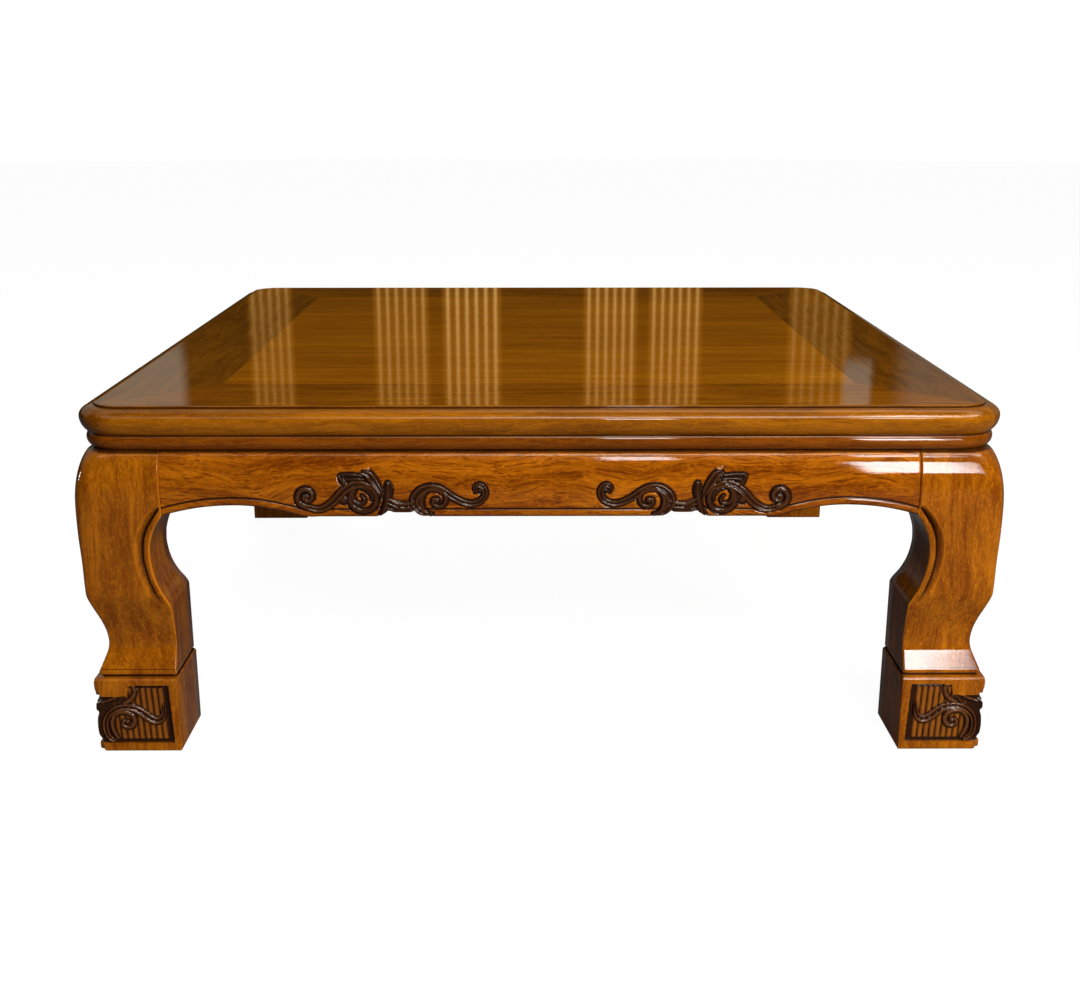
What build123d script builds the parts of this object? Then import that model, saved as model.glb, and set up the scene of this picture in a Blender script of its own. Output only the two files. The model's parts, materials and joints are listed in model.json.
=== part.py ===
"""Square kang table: a low hardwood table with a framed floating panel top, a double-roll edge,
four bowed aprons and four cabriole legs that stand on carved block feet.

Frame: millimetres, +Z up, origin on the floor under the middle of the table, front towards -Y.
Every edge piece is drawn once as the front one, with its outer face towards -Y, and turned into place.
Each side has a setting-out line, a little inside the widest line of the edge. For a front piece, "span" is
half the length between the side lines, "reach" is the distance from the middle to the front line, and
"inset" is a distance inward from that line.
"""

import os

from build123d import *

# ---------------------------------------------------------------- driving dimensions
top_width = 857.0  # left to right, over the widest line of the edge moulding
top_depth = 857.0  # front to back, over the same line
table_height = 338.0  # floor to the flat field of the top
edge_overhang = 3.5  # setting-out line to that widest line
corner_radius = 41.5  # plan radius of the top's corners, at the setting-out line

# Top frame: four mitred members around a floating panel.
frame_thickness = 26.3
frame_width = 114.5  # setting-out line of the edge to the panel
field_inset = 10.5  # setting-out line to the step around the flat field
field_step = 2.4  # height of that step
torus_rise = 8.4  # height of the big roll's upper curve, over its widest line
torus_waist = 4.0  # inset of the quirk under the big roll

# Second, smaller roll: a mitred strip glued under the frame.
roll_thickness = 13.7
roll_width = 66.0
roll_inset = 1.9  # inset of the roll's widest line
roll_foot_inset = 7.0  # inset of its lower edge

# Panel: boards glued edge to edge with tongue and groove, and a tongue all round.
panel_thickness = 13.0
board_count = 3
tongue_thickness = 6.0
tongue_length = 9.0
board_tongue_length = 7.0
board_tongue_thickness = 3.4
board_tongue_cover = 3.2  # wood between a board's tongue and the face of the panel

# Battens: sliding dovetails under the panel, with a tenon at each end.
batten_count = 3
batten_width = 28.0
batten_pitch = 185.0
batten_drop = 22.0  # underside of the panel to the underside of the batten
dovetail_height = 4.0
dovetail_flare = 3.0  # extra width of the dovetail at its top, each side
batten_tenon_length = 24.0
batten_tenon_thickness = 6.5
batten_tenon_width = 20.0
batten_tenon_bed = 2.0  # wood between the tenon and the groove above it

# Legs.
leg_stock = 76.0  # setting-out line to the inner face of the leg, at the apron
ankle_inset = 77.0  # setting-out line to the inner face below the knee
foot_inset = 78.4  # setting-out line to the inner face of the foot
shoulder_top_inset = 9.0  # inset of the leg's outer face at its top
shoulder_bulge = 4.8  # how far the shoulder stands out past the setting-out line
shoulder_height = 250.0  # height of the shoulder's widest line
knee_height = 159.0
knee_bulge = 0.8
calf_height = 130.0  # where the concave shin turns into the straight slope to the knee
calf_inset = 8.4
ankle_height = 108.0
shin_inset = 12.4  # inset of the outer face at the ankle
foot_height = 75.0
foot_bulge = 1.6
foot_edge_bevel = 2.0
neck_inset = 3.5  # inset of the band between the ankle's flare and the foot
neck_band_height = 4.5
neck_groove_height = 2.6
neck_groove_depth = 2.2
scoop_top = 238.0  # height where the inner curve of the leg begins
scoop_bottom = 147.0  # height where it ends
scoop_depth = 14.5
corner_rounding = 6.0  # outer corner edge of the leg, knee to shoulder

# Sunk field with upright reeds, on the two outer faces of each foot.
field_margin_inner = 9.0
field_margin_outer = 12.0
field_margin_top = 7.0
field_base_lip = 7.5
field_depth = 3.0
reed_count = 10
reed_relief = 1.6

# Leg tenons: up through the second roll into the frame.
leg_tenon_length = 18.0
leg_tenon_width = 12.0
leg_tenon_inset = 23.0  # middle of the tenon to the setting-out line, across the member
leg_tenon_offset = 50.0  # middle of the tenon to the setting-out line, along the member
leg_tenon_bite = 9.0  # how far it goes into the frame

# Aprons.
apron_height = 61.7
apron_thickness = 26.0  # setting-out line to the back of the apron
apron_setback = 2.2  # the leg stands this much proud of the apron
bead_width = 7.0  # bead along the lower edge of the apron
bead_groove_width = 2.0
bead_groove_depth = 1.6
apron_tenon_thickness = 10.0
apron_tenon_inset = 13.0  # setting-out line to the middle of the tenon
apron_tenon_height = 40.0
apron_tenon_length = 28.0
apron_tenon_bed = 10.0  # lower edge of the apron to the tenon
apron_tongue_width = 8.0
apron_tongue_height = 5.0
apron_tongue_inset = 20.0  # setting-out line to the middle of the tongue
arch_length = 134.0  # raised arch of the lower edge, beside each leg
arch_rise = 10.8
arch_end_rise = 1.0  # how much of that rise is left at the leg
arch_start_slope = 0.2  # how steeply the arch leaves the flat edge
arch_end_slope = 0.28  # how steeply it comes down to the leg
notch_centre = 128.5  # small raised link in the lower edge, from the middle of the apron
notch_length = 22.0
notch_rise = 5.0
notch_shoulder = 12.0  # length of each curved shoulder of the notch

# Mitre tenons of the frame, and the blind pegs that lock them.
mitre_tenon_near = 45.0  # setting-out line to the near and far edge of the tenon
mitre_tenon_far = 90.0
mitre_tenon_end = 20.0  # setting-out line to the blind end of the tenon
mitre_tenon_thickness = 6.0
mitre_tenon_bed = 10.5  # underside of the frame to the tenon
peg_radius = 2.5
peg_inset = 38.0  # setting-out line to the pegs, along the tenon
peg_spacing = 18.0
peg_cover = 4.0  # wood left over the blind end of a peg

fit_clearance = 0.1

# ---------------------------------------------------------------- worked out from the above
half_width = top_width / 2 - edge_overhang
half_depth = top_depth / 2 - edge_overhang
frame_bottom = table_height - frame_thickness
roll_bottom = frame_bottom - roll_thickness  # the legs and aprons stop here
panel_bottom = table_height - panel_thickness
tongue_top = panel_bottom + tongue_thickness
apron_bottom = roll_bottom - apron_height
apron_span_inset = leg_stock  # the apron's shoulders stand against the legs
well_clear = 2 * (top_width + top_depth)  # longer than anything here, for cutting tools
circle_pull = 0.5523  # makes a cubic curve follow a quarter of an ellipse

# Name, quarter turns, half length along the member and distance to its setting-out line.
SIDES = [
    ("front", 0, half_width, half_depth),
    ("left", 1, half_depth, half_width),
    ("back", 2, half_width, half_depth),
    ("right", 3, half_depth, half_width),
]
# The leg at the left-hand end of each of those sides, seen from outside.
CORNERS = ["front_left", "back_left", "back_right", "front_right"]

parts = {}


def turned(shape, quarter_turns):
    """A front piece turned into place: clockwise, seen from above."""
    return Rot(0, 0, -90 * quarter_turns) * shape


def block(x0, x1, y0, y1, z0, z1):
    """A rectangular block between two corners."""
    return Pos((x0 + x1) / 2, (y0 + y1) / 2, (z0 + z1) / 2) * Box(x1 - x0, y1 - y0, z1 - z0)


def grown(box_limits, gap):
    """The block of six limits (x0, x1, y0, y1, z0, z1), larger by a gap on every side."""
    x0, x1, y0, y1, z0, z1 = box_limits
    return block(x0 - gap, x1 + gap, y0 - gap, y1 + gap, z0 - gap, z1 + gap)


def on_all_sides(make, gap):
    """Blocks from make(span, reach), a list of limits for a front piece, turned to all four sides."""
    return [
        turned(grown(limits, gap), turns)
        for _, turns, span, reach in SIDES
        for limits in make(span, reach)
    ]


# ---------------------------------------------------------------- joints
def leg_tenon_limits(span, reach):
    """The two leg tenons that enter a front member, one at each end."""
    y = -(reach - leg_tenon_inset)
    return [
        (
            side * (span - leg_tenon_offset) - leg_tenon_length / 2,
            side * (span - leg_tenon_offset) + leg_tenon_length / 2,
            y - leg_tenon_width / 2,
            y + leg_tenon_width / 2,
            roll_bottom,
            frame_bottom + leg_tenon_bite,
        )
        for side in (-1, 1)
    ]


def mitre_tenon_limits(span, reach):
    """The two tenons of a front member, each starting inside it and ending blind in the side member."""
    low = frame_bottom + mitre_tenon_bed
    inner = span - frame_width
    outer = span - mitre_tenon_end
    near = -(reach - mitre_tenon_near)
    far = -(reach - mitre_tenon_far)
    return [
        (min(side * inner, side * outer), max(side * inner, side * outer), near, far, low,
         low + mitre_tenon_thickness)
        for side in (-1, 1)
    ]


def apron_tenon_limits(span, reach):
    """The two end tenons of a front apron, in the legs."""
    low = apron_bottom + apron_tenon_bed
    y = -(reach - apron_tenon_inset)
    inner = span - apron_span_inset
    outer = inner + apron_tenon_length
    return [
        (min(side * inner, side * outer), max(side * inner, side * outer), y - apron_tenon_thickness / 2,
         y + apron_tenon_thickness / 2, low, low + apron_tenon_height)
        for side in (-1, 1)
    ]


def apron_tongue_limits(span, reach):
    """The tongue along the top of a front apron."""
    y = -(reach - apron_tongue_inset)
    half = span - apron_span_inset
    return [
        (-half, half, y - apron_tongue_width / 2, y + apron_tongue_width / 2, roll_bottom,
         roll_bottom + apron_tongue_height)
    ]


def peg_places():
    """X and Y of the frame's eight pegs, two through each mitre tenon of the front and back members."""
    middle = (mitre_tenon_near + mitre_tenon_far) / 2
    return [
        (side_x * (half_width - peg_inset), side_y * (half_depth - middle + step * peg_spacing / 2))
        for side_x in (-1, 1)
        for side_y in (-1, 1)
        for step in (-1, 1)
    ]


def frame_pegs(gap):
    """The pegs, driven up into blind holes from the underside of the frame."""
    length = frame_thickness - peg_cover
    return [
        Pos(x, y, frame_bottom) * Cylinder(
            peg_radius + gap, length + gap, align=(Align.CENTER, Align.CENTER, Align.MIN)
        )
        for x, y in peg_places()
    ]


# ---------------------------------------------------------------- edge mouldings
def quarter_ellipse(level_end, upright_end):
    """Quarter of an ellipse, from the end where it runs level to the end where it runs upright."""
    across = (upright_end[0] - level_end[0]) * circle_pull
    down = (level_end[1] - upright_end[1]) * circle_pull
    return Bezier(
        level_end,
        (level_end[0] + across, level_end[1]),
        (upright_end[0], upright_end[1] + down),
        upright_end,
    )


def frame_section(reach):
    """Cross-section of a frame member: flat field, small step, big roll and underside."""
    shelf = table_height - field_step

    def at(inset, height):
        return (inset - reach, height)

    nose = at(-edge_overhang, shelf - torus_rise)
    curve = [
        Polyline(
            at(torus_waist, frame_bottom),
            at(frame_width, frame_bottom),
            at(frame_width, table_height),
            at(field_inset, table_height),
            at(field_inset, shelf),
        ),
        quarter_ellipse(at(field_inset, shelf), nose),
        TangentArc(nose, at(torus_waist, frame_bottom), tangent=(0, -1)),
    ]
    return make_face(Plane.YZ * (Curve() + curve))


def roll_section(reach):
    """Cross-section of the strip that carries the smaller roll."""

    def at(inset, height):
        return (inset - reach, height)

    curve = [
        Polyline(
            at(roll_foot_inset, roll_bottom),
            at(roll_width, roll_bottom),
            at(roll_width, frame_bottom),
            at(torus_waist, frame_bottom),
        ),
        ThreePointArc(
            at(torus_waist, frame_bottom),
            at(roll_inset, (frame_bottom + roll_bottom) / 2),
            at(roll_foot_inset, roll_bottom),
        ),
    ]
    return make_face(Plane.YZ * (Curve() + curve))


def mitred_member(section, span, reach):
    """A moulded front member. Its edge turns 45 degrees round each corner's centre, and from there
    inward the end is a 45 degree mitre."""
    straight = span - corner_radius
    centre_y = corner_radius - reach
    member = extrude(Pos(-straight, 0, 0) * section, 2 * straight, dir=(1, 0, 0))
    edge_strip = section & Plane.YZ * Pos(-reach, 0) * Rectangle(2 * corner_radius, well_clear)
    for side in (-1, 1):
        mitre = Polygon((0, 0), (0, well_clear), (-side * well_clear, well_clear), align=None)
        member -= Pos(side * span, -reach, 0) * extrude(mitre, 2 * table_height, dir=(0, 0, 1))
        axis = Axis((side * straight, centre_y, 0), (0, 0, side))
        member += revolve(Pos(side * straight, 0, 0) * edge_strip, axis, 45)
    return member


def make_frame():
    """The four members of the top frame."""
    opening_x = half_width - frame_width
    opening_y = half_depth - frame_width
    panel_room = block(
        -opening_x - tongue_length - fit_clearance,
        opening_x + tongue_length + fit_clearance,
        -opening_y - tongue_length - fit_clearance,
        opening_y + tongue_length + fit_clearance,
        panel_bottom - fit_clearance,
        tongue_top + fit_clearance,
    )
    mitre_tenons = {
        name: [turned(grown(limits, 0), turns) for limits in mitre_tenon_limits(span, reach)]
        for name, turns, span, reach in SIDES
        if name in ("front", "back")
    }
    mitre_mortises = [
        turned(grown(limits, fit_clearance), turns)
        for name, turns, span, reach in SIDES
        if name in mitre_tenons
        for limits in mitre_tenon_limits(span, reach)
    ]
    holes = on_all_sides(leg_tenon_limits, fit_clearance) + frame_pegs(fit_clearance)
    holes += [grown(limits, fit_clearance) for limits in batten_tenon_limits()]
    for name, turns, span, reach in SIDES:
        member = turned(mitred_member(frame_section(reach), span, reach), turns) - panel_room
        for tenon in mitre_tenons.get(name, []):
            member += tenon
        if name not in mitre_tenons:
            for mortise in mitre_mortises:
                member -= mortise
        for hole in holes:
            member -= hole
        parts[f"top_frame_{name}"] = member


def make_roll_mouldings():
    """The four mitred strips with the smaller roll, holed for the leg tenons and grooved for the aprons."""
    holes = on_all_sides(leg_tenon_limits, fit_clearance)
    holes += on_all_sides(apron_tongue_limits, fit_clearance)
    for name, turns, span, reach in SIDES:
        strip = turned(mitred_member(roll_section(reach), span, reach), turns)
        for hole in holes:
            strip -= hole
        parts[f"roll_moulding_{name}"] = strip


# ---------------------------------------------------------------- panel and battens
def batten_places():
    """X of each batten's middle."""
    return [(index - (batten_count - 1) / 2) * batten_pitch for index in range(batten_count)]


def batten_tenon_limits():
    """The tenons at both ends of every batten, in the front and back frame members."""
    inner = half_depth - frame_width - fit_clearance
    outer = inner + batten_tenon_length
    top = panel_bottom - batten_tenon_bed
    return [
        (x - batten_tenon_width / 2, x + batten_tenon_width / 2, min(side * inner, side * outer),
         max(side * inner, side * outer), top - batten_tenon_thickness, top)
        for x in batten_places()
        for side in (-1, 1)
    ]


def dovetail(x, gap):
    """The rib on top of a batten, wider at its top, that slides into the boards."""
    length = half_depth - frame_width - fit_clearance + gap
    foot = batten_width / 2 - dovetail_flare + gap
    crown = batten_width / 2 + gap
    top = panel_bottom + dovetail_height + gap
    outline = Plane.XZ * Polygon(
        (x - foot, panel_bottom), (x + foot, panel_bottom), (x + crown, top), (x - crown, top), align=None
    )
    return Pos(0, length, 0) * extrude(outline, 2 * length, dir=(0, -1, 0))


def make_battens():
    """The battens under the panel."""
    length = half_depth - frame_width - fit_clearance
    for index, x in enumerate(batten_places()):
        batten = block(
            x - batten_width / 2,
            x + batten_width / 2,
            -length,
            length,
            panel_bottom - batten_drop,
            panel_bottom,
        )
        batten += dovetail(x, 0)
        for limits in batten_tenon_limits()[2 * index : 2 * index + 2]:
            batten += grown(limits, 0)
        parts[f"batten_{index + 1}"] = batten


def make_panel():
    """The boards of the panel. Each joint has a tongue on the board behind it."""
    half_x = half_width - frame_width - fit_clearance
    half_y = half_depth - frame_width - fit_clearance
    panel = block(-half_x, half_x, -half_y, half_y, panel_bottom, table_height)
    panel += block(
        -half_x - tongue_length,
        half_x + tongue_length,
        -half_y - tongue_length,
        half_y + tongue_length,
        panel_bottom,
        tongue_top,
    )
    for x in batten_places():
        panel -= dovetail(x, fit_clearance)
    board_width = 2 * half_y / board_count
    high = table_height - board_tongue_cover
    tongues = [
        (-half_x, half_x, y - board_tongue_length, y, high - board_tongue_thickness, high)
        for y in [index * board_width - half_y for index in range(1, board_count)]
    ]
    for index in range(board_count):
        near = -half_depth if index == 0 else index * board_width - half_y
        far = half_depth if index == board_count - 1 else (index + 1) * board_width - half_y
        board = panel & block(-half_width, half_width, near, far, 0, table_height + panel_thickness)
        if index > 0:
            board += grown(tongues[index - 1], 0)
        if index < board_count - 1:
            board -= grown(tongues[index], fit_clearance)
        parts[f"panel_board_{index + 1}"] = board


# ---------------------------------------------------------------- legs
def shoulder_curve(at, setback):
    """Quarter ellipse of the shoulder, from its top inward edge down to its widest line."""
    return quarter_ellipse(
        at(setback + shoulder_top_inset, roll_bottom), at(setback - shoulder_bulge, shoulder_height)
    )


def belly_curve(at, setback):
    """The long outer curve from the shoulder's widest line down to the knee."""
    drop = (shoulder_height - knee_height) / 3
    lean = (shoulder_bulge - knee_bulge) / 3
    return Bezier(
        at(setback - shoulder_bulge, shoulder_height),
        at(setback - shoulder_bulge, shoulder_height - drop),
        at(setback - knee_bulge - lean, knee_height + drop),
        at(setback - knee_bulge, knee_height),
    )


def leg_outline(reach):
    """The leg seen square on: outer face at the left, inner face at the right."""

    def at(inset, height):
        return (inset - reach, height)

    groove_middle = foot_height + neck_groove_height / 2
    neck_bottom = foot_height + neck_groove_height
    neck_top = neck_bottom + neck_band_height
    curve = [
        shoulder_curve(at, 0),
        belly_curve(at, 0),
        Line(at(-knee_bulge, knee_height), at(calf_inset, calf_height)),
        TangentArc(at(shin_inset, ankle_height), at(calf_inset, calf_height), tangent=(0, 1)),
        TangentArc(at(shin_inset, ankle_height), at(neck_inset, neck_top), tangent=(0, -1)),
        Polyline(
            at(neck_inset, neck_top),
            at(neck_inset, neck_bottom),
            at(neck_inset + neck_groove_depth, groove_middle),
            at(foot_edge_bevel - foot_bulge, foot_height),
            at(-foot_bulge, foot_height - foot_edge_bevel),
            at(-foot_bulge, 0),
            at(foot_inset, 0),
            at(foot_inset, foot_height),
            at(ankle_inset - neck_groove_depth, groove_middle),
            at(ankle_inset, neck_bottom),
            at(ankle_inset, scoop_bottom),
        ),
        ThreePointArc(
            at(ankle_inset, scoop_bottom),
            at((leg_stock + ankle_inset) / 2 - scoop_depth, (scoop_top + scoop_bottom) / 2),
            at(leg_stock, scoop_top),
        ),
        Polyline(
            at(leg_stock, scoop_top),
            at(leg_stock, roll_bottom),
            at(shoulder_top_inset, roll_bottom),
        ),
    ]
    return make_face(Curve() + curve)


def foot_field(span, reach):
    """Cutting solid for the sunk, reeded field on the foot's front face, at the left-hand leg."""
    left = field_margin_outer - span
    right = foot_inset - field_margin_inner - span
    face = -reach - foot_bulge
    floor = face + field_depth
    pitch = (right - left) / reed_count
    outline = [
        Polyline((left, floor), (left, face - field_depth), (right, face - field_depth), (right, floor))
    ]
    for index in range(reed_count):
        start = left + index * pitch
        outline.append(
            ThreePointArc((start, floor), (start + pitch / 2, floor - reed_relief), (start + pitch, floor))
        )
    height = foot_height - field_margin_top - field_base_lip
    return Pos(0, 0, field_base_lip) * extrude(make_face(Curve() + outline), height)


def corner_edges(leg, span, reach):
    """The outer corner edges of the leg, from the knee up."""
    return [
        edge
        for edge in leg.edges()
        if edge.center().Z > knee_height
        and edge.center().X + span < shoulder_top_inset
        and edge.center().Y + reach < shoulder_top_inset
        and edge.bounding_box().size.Z > corner_rounding
    ]


def make_leg(span, reach):
    """The leg at the left-hand end of a front side: one outline cut square from both outer faces."""
    room = foot_inset + foot_bulge
    seen_from_front = Plane.XZ * leg_outline(span)
    seen_from_side = Plane.YZ * leg_outline(reach)
    leg = extrude(Pos(0, room - reach, 0) * seen_from_front, 2 * room, dir=(0, -1, 0)) & extrude(
        Pos(-span - room, 0, 0) * seen_from_side, 2 * room, dir=(1, 0, 0)
    )
    leg = fillet(corner_edges(leg, span, reach), corner_rounding)
    leg -= foot_field(span, reach)
    leg -= mirror(foot_field(reach, span), Plane((0, 0, 0), z_dir=(1, -1, 0)))
    return leg


def make_legs():
    """The four legs, with tenons up into two frame members and mortises for two aprons."""
    tenons = on_all_sides(leg_tenon_limits, 0)
    mortises = on_all_sides(apron_tenon_limits, fit_clearance)
    for corner, (_, turns, span, reach) in zip(CORNERS, SIDES):
        leg = turned(make_leg(span, reach), turns)
        middle = leg.bounding_box().center()
        reachable = Pos(middle.X, middle.Y, 0) * Box(2 * foot_inset, 2 * foot_inset, well_clear)
        for tenon in tenons:
            if (reachable & tenon).volume > 0:
                leg += tenon
        for mortise in mortises:
            if (reachable & mortise).volume > 0:
                leg -= mortise
        parts[f"leg_{corner}"] = leg


# ---------------------------------------------------------------- aprons
def apron_lower_edge(span, lift):
    """Closed face under the apron's lower edge, raised by lift: a flat middle, a small raised link on each
    side of it and an arch beside each leg."""
    end = span - apron_span_inset
    base = apron_bottom + lift
    arch_start = end - arch_length
    link_low = notch_centre - notch_length / 2
    link_high = notch_centre + notch_length / 2
    curve = [Line((notch_shoulder - link_low, base), (link_low - notch_shoulder, base))]
    for side in (-1, 1):
        points = [
            (link_low - notch_shoulder, 0),
            (link_low, notch_rise),
            (link_high, notch_rise),
            (link_high + notch_shoulder, 0),
            (arch_start, 0),
        ]
        spots = [(side * x, base + rise) for x, rise in points]
        curve.append(Spline(spots[0:2], tangents=[(side, 0), (side, 0)]))
        curve.append(Line(spots[1], spots[2]))
        curve.append(Spline(spots[2:4], tangents=[(side, 0), (side, 0)]))
        curve.append(Line(spots[3], spots[4]))
        curve.append(
            Spline(
                [
                    spots[4],
                    (side * (end - arch_length / 2), base + arch_rise),
                    (side * end, base + arch_end_rise),
                ],
                tangents=[(side, arch_start_slope), (side, -arch_end_slope)],
            )
        )
        curve.append(Line((side * end, base + arch_end_rise), (side * end, base - arch_rise)))
    curve.append(Line((-end, base - arch_rise), (end, base - arch_rise)))
    return make_face(Plane.XZ * (Curve() + curve))


def apron_section(reach, depth):
    """Cross-section of the apron, with its bowed front face set in by depth."""

    def at(inset, height):
        return (inset - reach, height)

    setback = apron_setback + depth
    curve = [
        shoulder_curve(at, setback),
        belly_curve(at, setback),
        Polyline(
            at(setback - knee_bulge, knee_height),
            at(apron_thickness, knee_height),
            at(apron_thickness, roll_bottom),
            at(setback + shoulder_top_inset, roll_bottom),
        ),
    ]
    return make_face(Plane.YZ * (Curve() + curve))


def make_apron(span, reach):
    """A front apron: its bowed section along the side, cut along the shaped lower edge, with a bead."""
    end = span - apron_span_inset
    depth = apron_thickness + bead_width

    def below(lift):
        return extrude(Pos(0, depth - reach, 0) * apron_lower_edge(span, lift), 2 * depth, dir=(0, -1, 0))

    def bowed(depth):
        return extrude(Pos(-end, 0, 0) * apron_section(reach, depth), 2 * end, dir=(1, 0, 0))

    apron = bowed(0) & block(-end, end, -well_clear, well_clear, apron_bottom, table_height)
    apron -= below(0)
    groove_band = below(bead_width + bead_groove_width) - below(bead_width)
    apron -= groove_band & (bowed(0) - bowed(bead_groove_depth))
    for limits in apron_tenon_limits(span, reach) + apron_tongue_limits(span, reach):
        apron += grown(limits, 0)
    return apron


def make_aprons():
    """The four aprons."""
    for name, turns, span, reach in SIDES:
        parts[f"apron_{name}"] = turned(make_apron(span, reach), turns)


# ---------------------------------------------------------------- build
def write_parts():
    """Writes each node to its own STEP file."""
    os.makedirs("parts", exist_ok=True)
    for name, shape in parts.items():
        export_step(shape, f"parts/{name}.step")


make_frame()
make_roll_mouldings()
make_panel()
make_battens()
make_legs()
make_aprons()
parts["frame_corner_pegs"] = Compound(children=frame_pegs(0))
write_parts()
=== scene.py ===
"""Dresses the square kang table: a framed board top with a double-roll edge, four aprons and four legs with
scroll carving, in lacquered hardwood. Lengths inside the functions are in millimetres, and every edge piece
is worked out as the front one and turned into place. For such a piece, "inset" is the distance inward from
the setting-out line, which lies a little inside the widest line of the table's edge."""
import json
from math import pi, radians
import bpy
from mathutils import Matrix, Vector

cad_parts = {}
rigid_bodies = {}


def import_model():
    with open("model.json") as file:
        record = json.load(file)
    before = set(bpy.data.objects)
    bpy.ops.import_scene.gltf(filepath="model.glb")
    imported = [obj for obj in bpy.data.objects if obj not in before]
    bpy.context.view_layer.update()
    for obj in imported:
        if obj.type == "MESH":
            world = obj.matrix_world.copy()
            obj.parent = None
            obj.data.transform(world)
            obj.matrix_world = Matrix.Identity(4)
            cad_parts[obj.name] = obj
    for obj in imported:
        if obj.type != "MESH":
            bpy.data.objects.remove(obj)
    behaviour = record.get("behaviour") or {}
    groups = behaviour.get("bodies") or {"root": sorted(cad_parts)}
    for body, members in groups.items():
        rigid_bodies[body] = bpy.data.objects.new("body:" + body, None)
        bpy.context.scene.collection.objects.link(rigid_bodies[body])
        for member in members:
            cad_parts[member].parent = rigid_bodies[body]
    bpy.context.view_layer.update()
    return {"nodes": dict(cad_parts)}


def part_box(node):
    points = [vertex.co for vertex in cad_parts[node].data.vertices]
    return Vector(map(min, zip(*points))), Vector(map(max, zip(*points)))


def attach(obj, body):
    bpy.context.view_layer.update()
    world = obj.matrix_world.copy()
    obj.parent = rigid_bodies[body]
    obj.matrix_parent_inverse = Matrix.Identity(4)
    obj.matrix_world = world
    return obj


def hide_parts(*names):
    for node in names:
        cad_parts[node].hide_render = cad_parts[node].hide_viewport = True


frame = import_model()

from types import SimpleNamespace

import bmesh
import bpy
import numpy as np
from bpy.props import FloatProperty, FloatVectorProperty, PointerProperty
from mathutils import Vector

bl_info = {
    "name": "Square kang table",
    "version": (1, 0, 0),
    "blender": (4, 5, 0),
    "location": "3D View > Sidebar > Kang table",
    "description": "Builds the framed top, rolls, carved aprons and carved legs of a square kang table",
    "category": "Add Mesh",
}


def node_box(node):
    """Lowest and highest corner of a packed node, in millimetres."""
    return [np.array(corner) * 1000 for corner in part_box(node)]


EDGE_OVERHANG = 3.5  # setting-out line to the widest line of the edge
FRAME_LOW, FRAME_HIGH = node_box("top_frame_front")
REACH = -FRAME_LOW[1] - EDGE_OVERHANG  # middle of the table to the setting-out line
FRAME_WIDTH = REACH + FRAME_HIGH[1]
FRAME_BOTTOM, TOP = FRAME_LOW[2], FRAME_HIGH[2]
ROLL_BOTTOM = node_box("roll_moulding_front")[0][2]
PANEL_BOTTOM = node_box("panel_board_1")[0][2]
SHOULDER = 250  # height of the shoulder's widest line
SHOULDER_BULGE = 4.8  # how far it stands out past the setting-out line
SHOULDER_FALL = 13.8  # from there in to the top of the leg
REED_RISE = 2.3  # height of the reeds over the sunk ground of a foot
FIELD_LEAN = 0.0436  # how far that ground's inner edge and its reeds lean inward per millimetre of height
BOARD_COUNT = 3
BOARD_GAP = 0.04  # between neighbouring boards
PANEL_GAP = 0.04  # between the panel and the frame, on each side
SIDES = ("front", "left", "back", "right")
CORNERS = {"front_left": (-1, -1), "back_left": (-1, 1), "back_right": (1, 1), "front_right": (1, -1)}


# ---------------------------------------------------------------- properties
def length(label, millimetres, about):
    """A length property, given here in millimetres and kept in metres."""
    return FloatProperty(
        name=label, description=about, default=millimetres / 1000, precision=5, unit="LENGTH"
    )


def colour(label, red, green, blue, about):
    """A colour property, in linear light."""
    return FloatVectorProperty(
        name=label, description=about, default=(red, green, blue), size=3, min=0, max=1, subtype="COLOR"
    )


def share(label, value, about):
    """A factor between nothing and all."""
    return FloatProperty(name=label, description=about, default=value, min=0, max=1, subtype="FACTOR")


def power(label, watts, about):
    """The power of a soft light, in watts."""
    return FloatProperty(name=label, description=about, default=watts, min=0, unit="POWER")


class TopSizes(bpy.types.PropertyGroup):
    """Sizes of the framed top and of its two rolls."""

    corner_radius: length("Corner radius", 41.5, "Plan radius of the corners at the setting-out line")
    field_inset: length("Field inset", 10.5, "Setting-out line to the small step round the flat field")
    field_step: length("Field step", 2.4, "Height of that step")
    roll_rise: length("Roll rise", 10.0, "Height of the big roll's upper curve over its widest line")
    quirk: length("Quirk", 4.0, "Inset of the fold between the two rolls")
    small_roll: length("Small roll", 1.9, "Inset of the small roll's widest line")
    small_roll_foot: length("Small roll foot", 7.0, "Inset of the small roll's lower edge")
    small_roll_width: length("Small roll width", 66, "Width of the strip that carries the small roll")
    arris: length("Arris", 0.08, "Softened edge along each joint in the field")


class ApronSizes(bpy.types.PropertyGroup):
    """Sizes of the four aprons."""

    setback: length("Setback", 2.2, "How far the face stands behind the legs' faces")
    thickness: length("Thickness", 26, "Setting-out line to the back of the apron")
    end_inset: length("End inset", 76.1, "Setting-out line of the side to the apron's end")
    lower_edge: length("Lower edge", 236.3, "Height of the flat part of the lower edge")
    bead: length("Bead", 7.2, "Width of the bead along the lower edge")
    bead_depth: length("Bead depth", 3, "How far the bead rolls back at the lower edge")
    groove: length("Groove", 1.7, "Depth of the groove above the bead")
    relief: length("Relief", 2.1, "Height of the carving over the apron's face")
    right_shift: length("Right shift", 4.5, "How much further out the right-hand carving stands")


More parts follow.
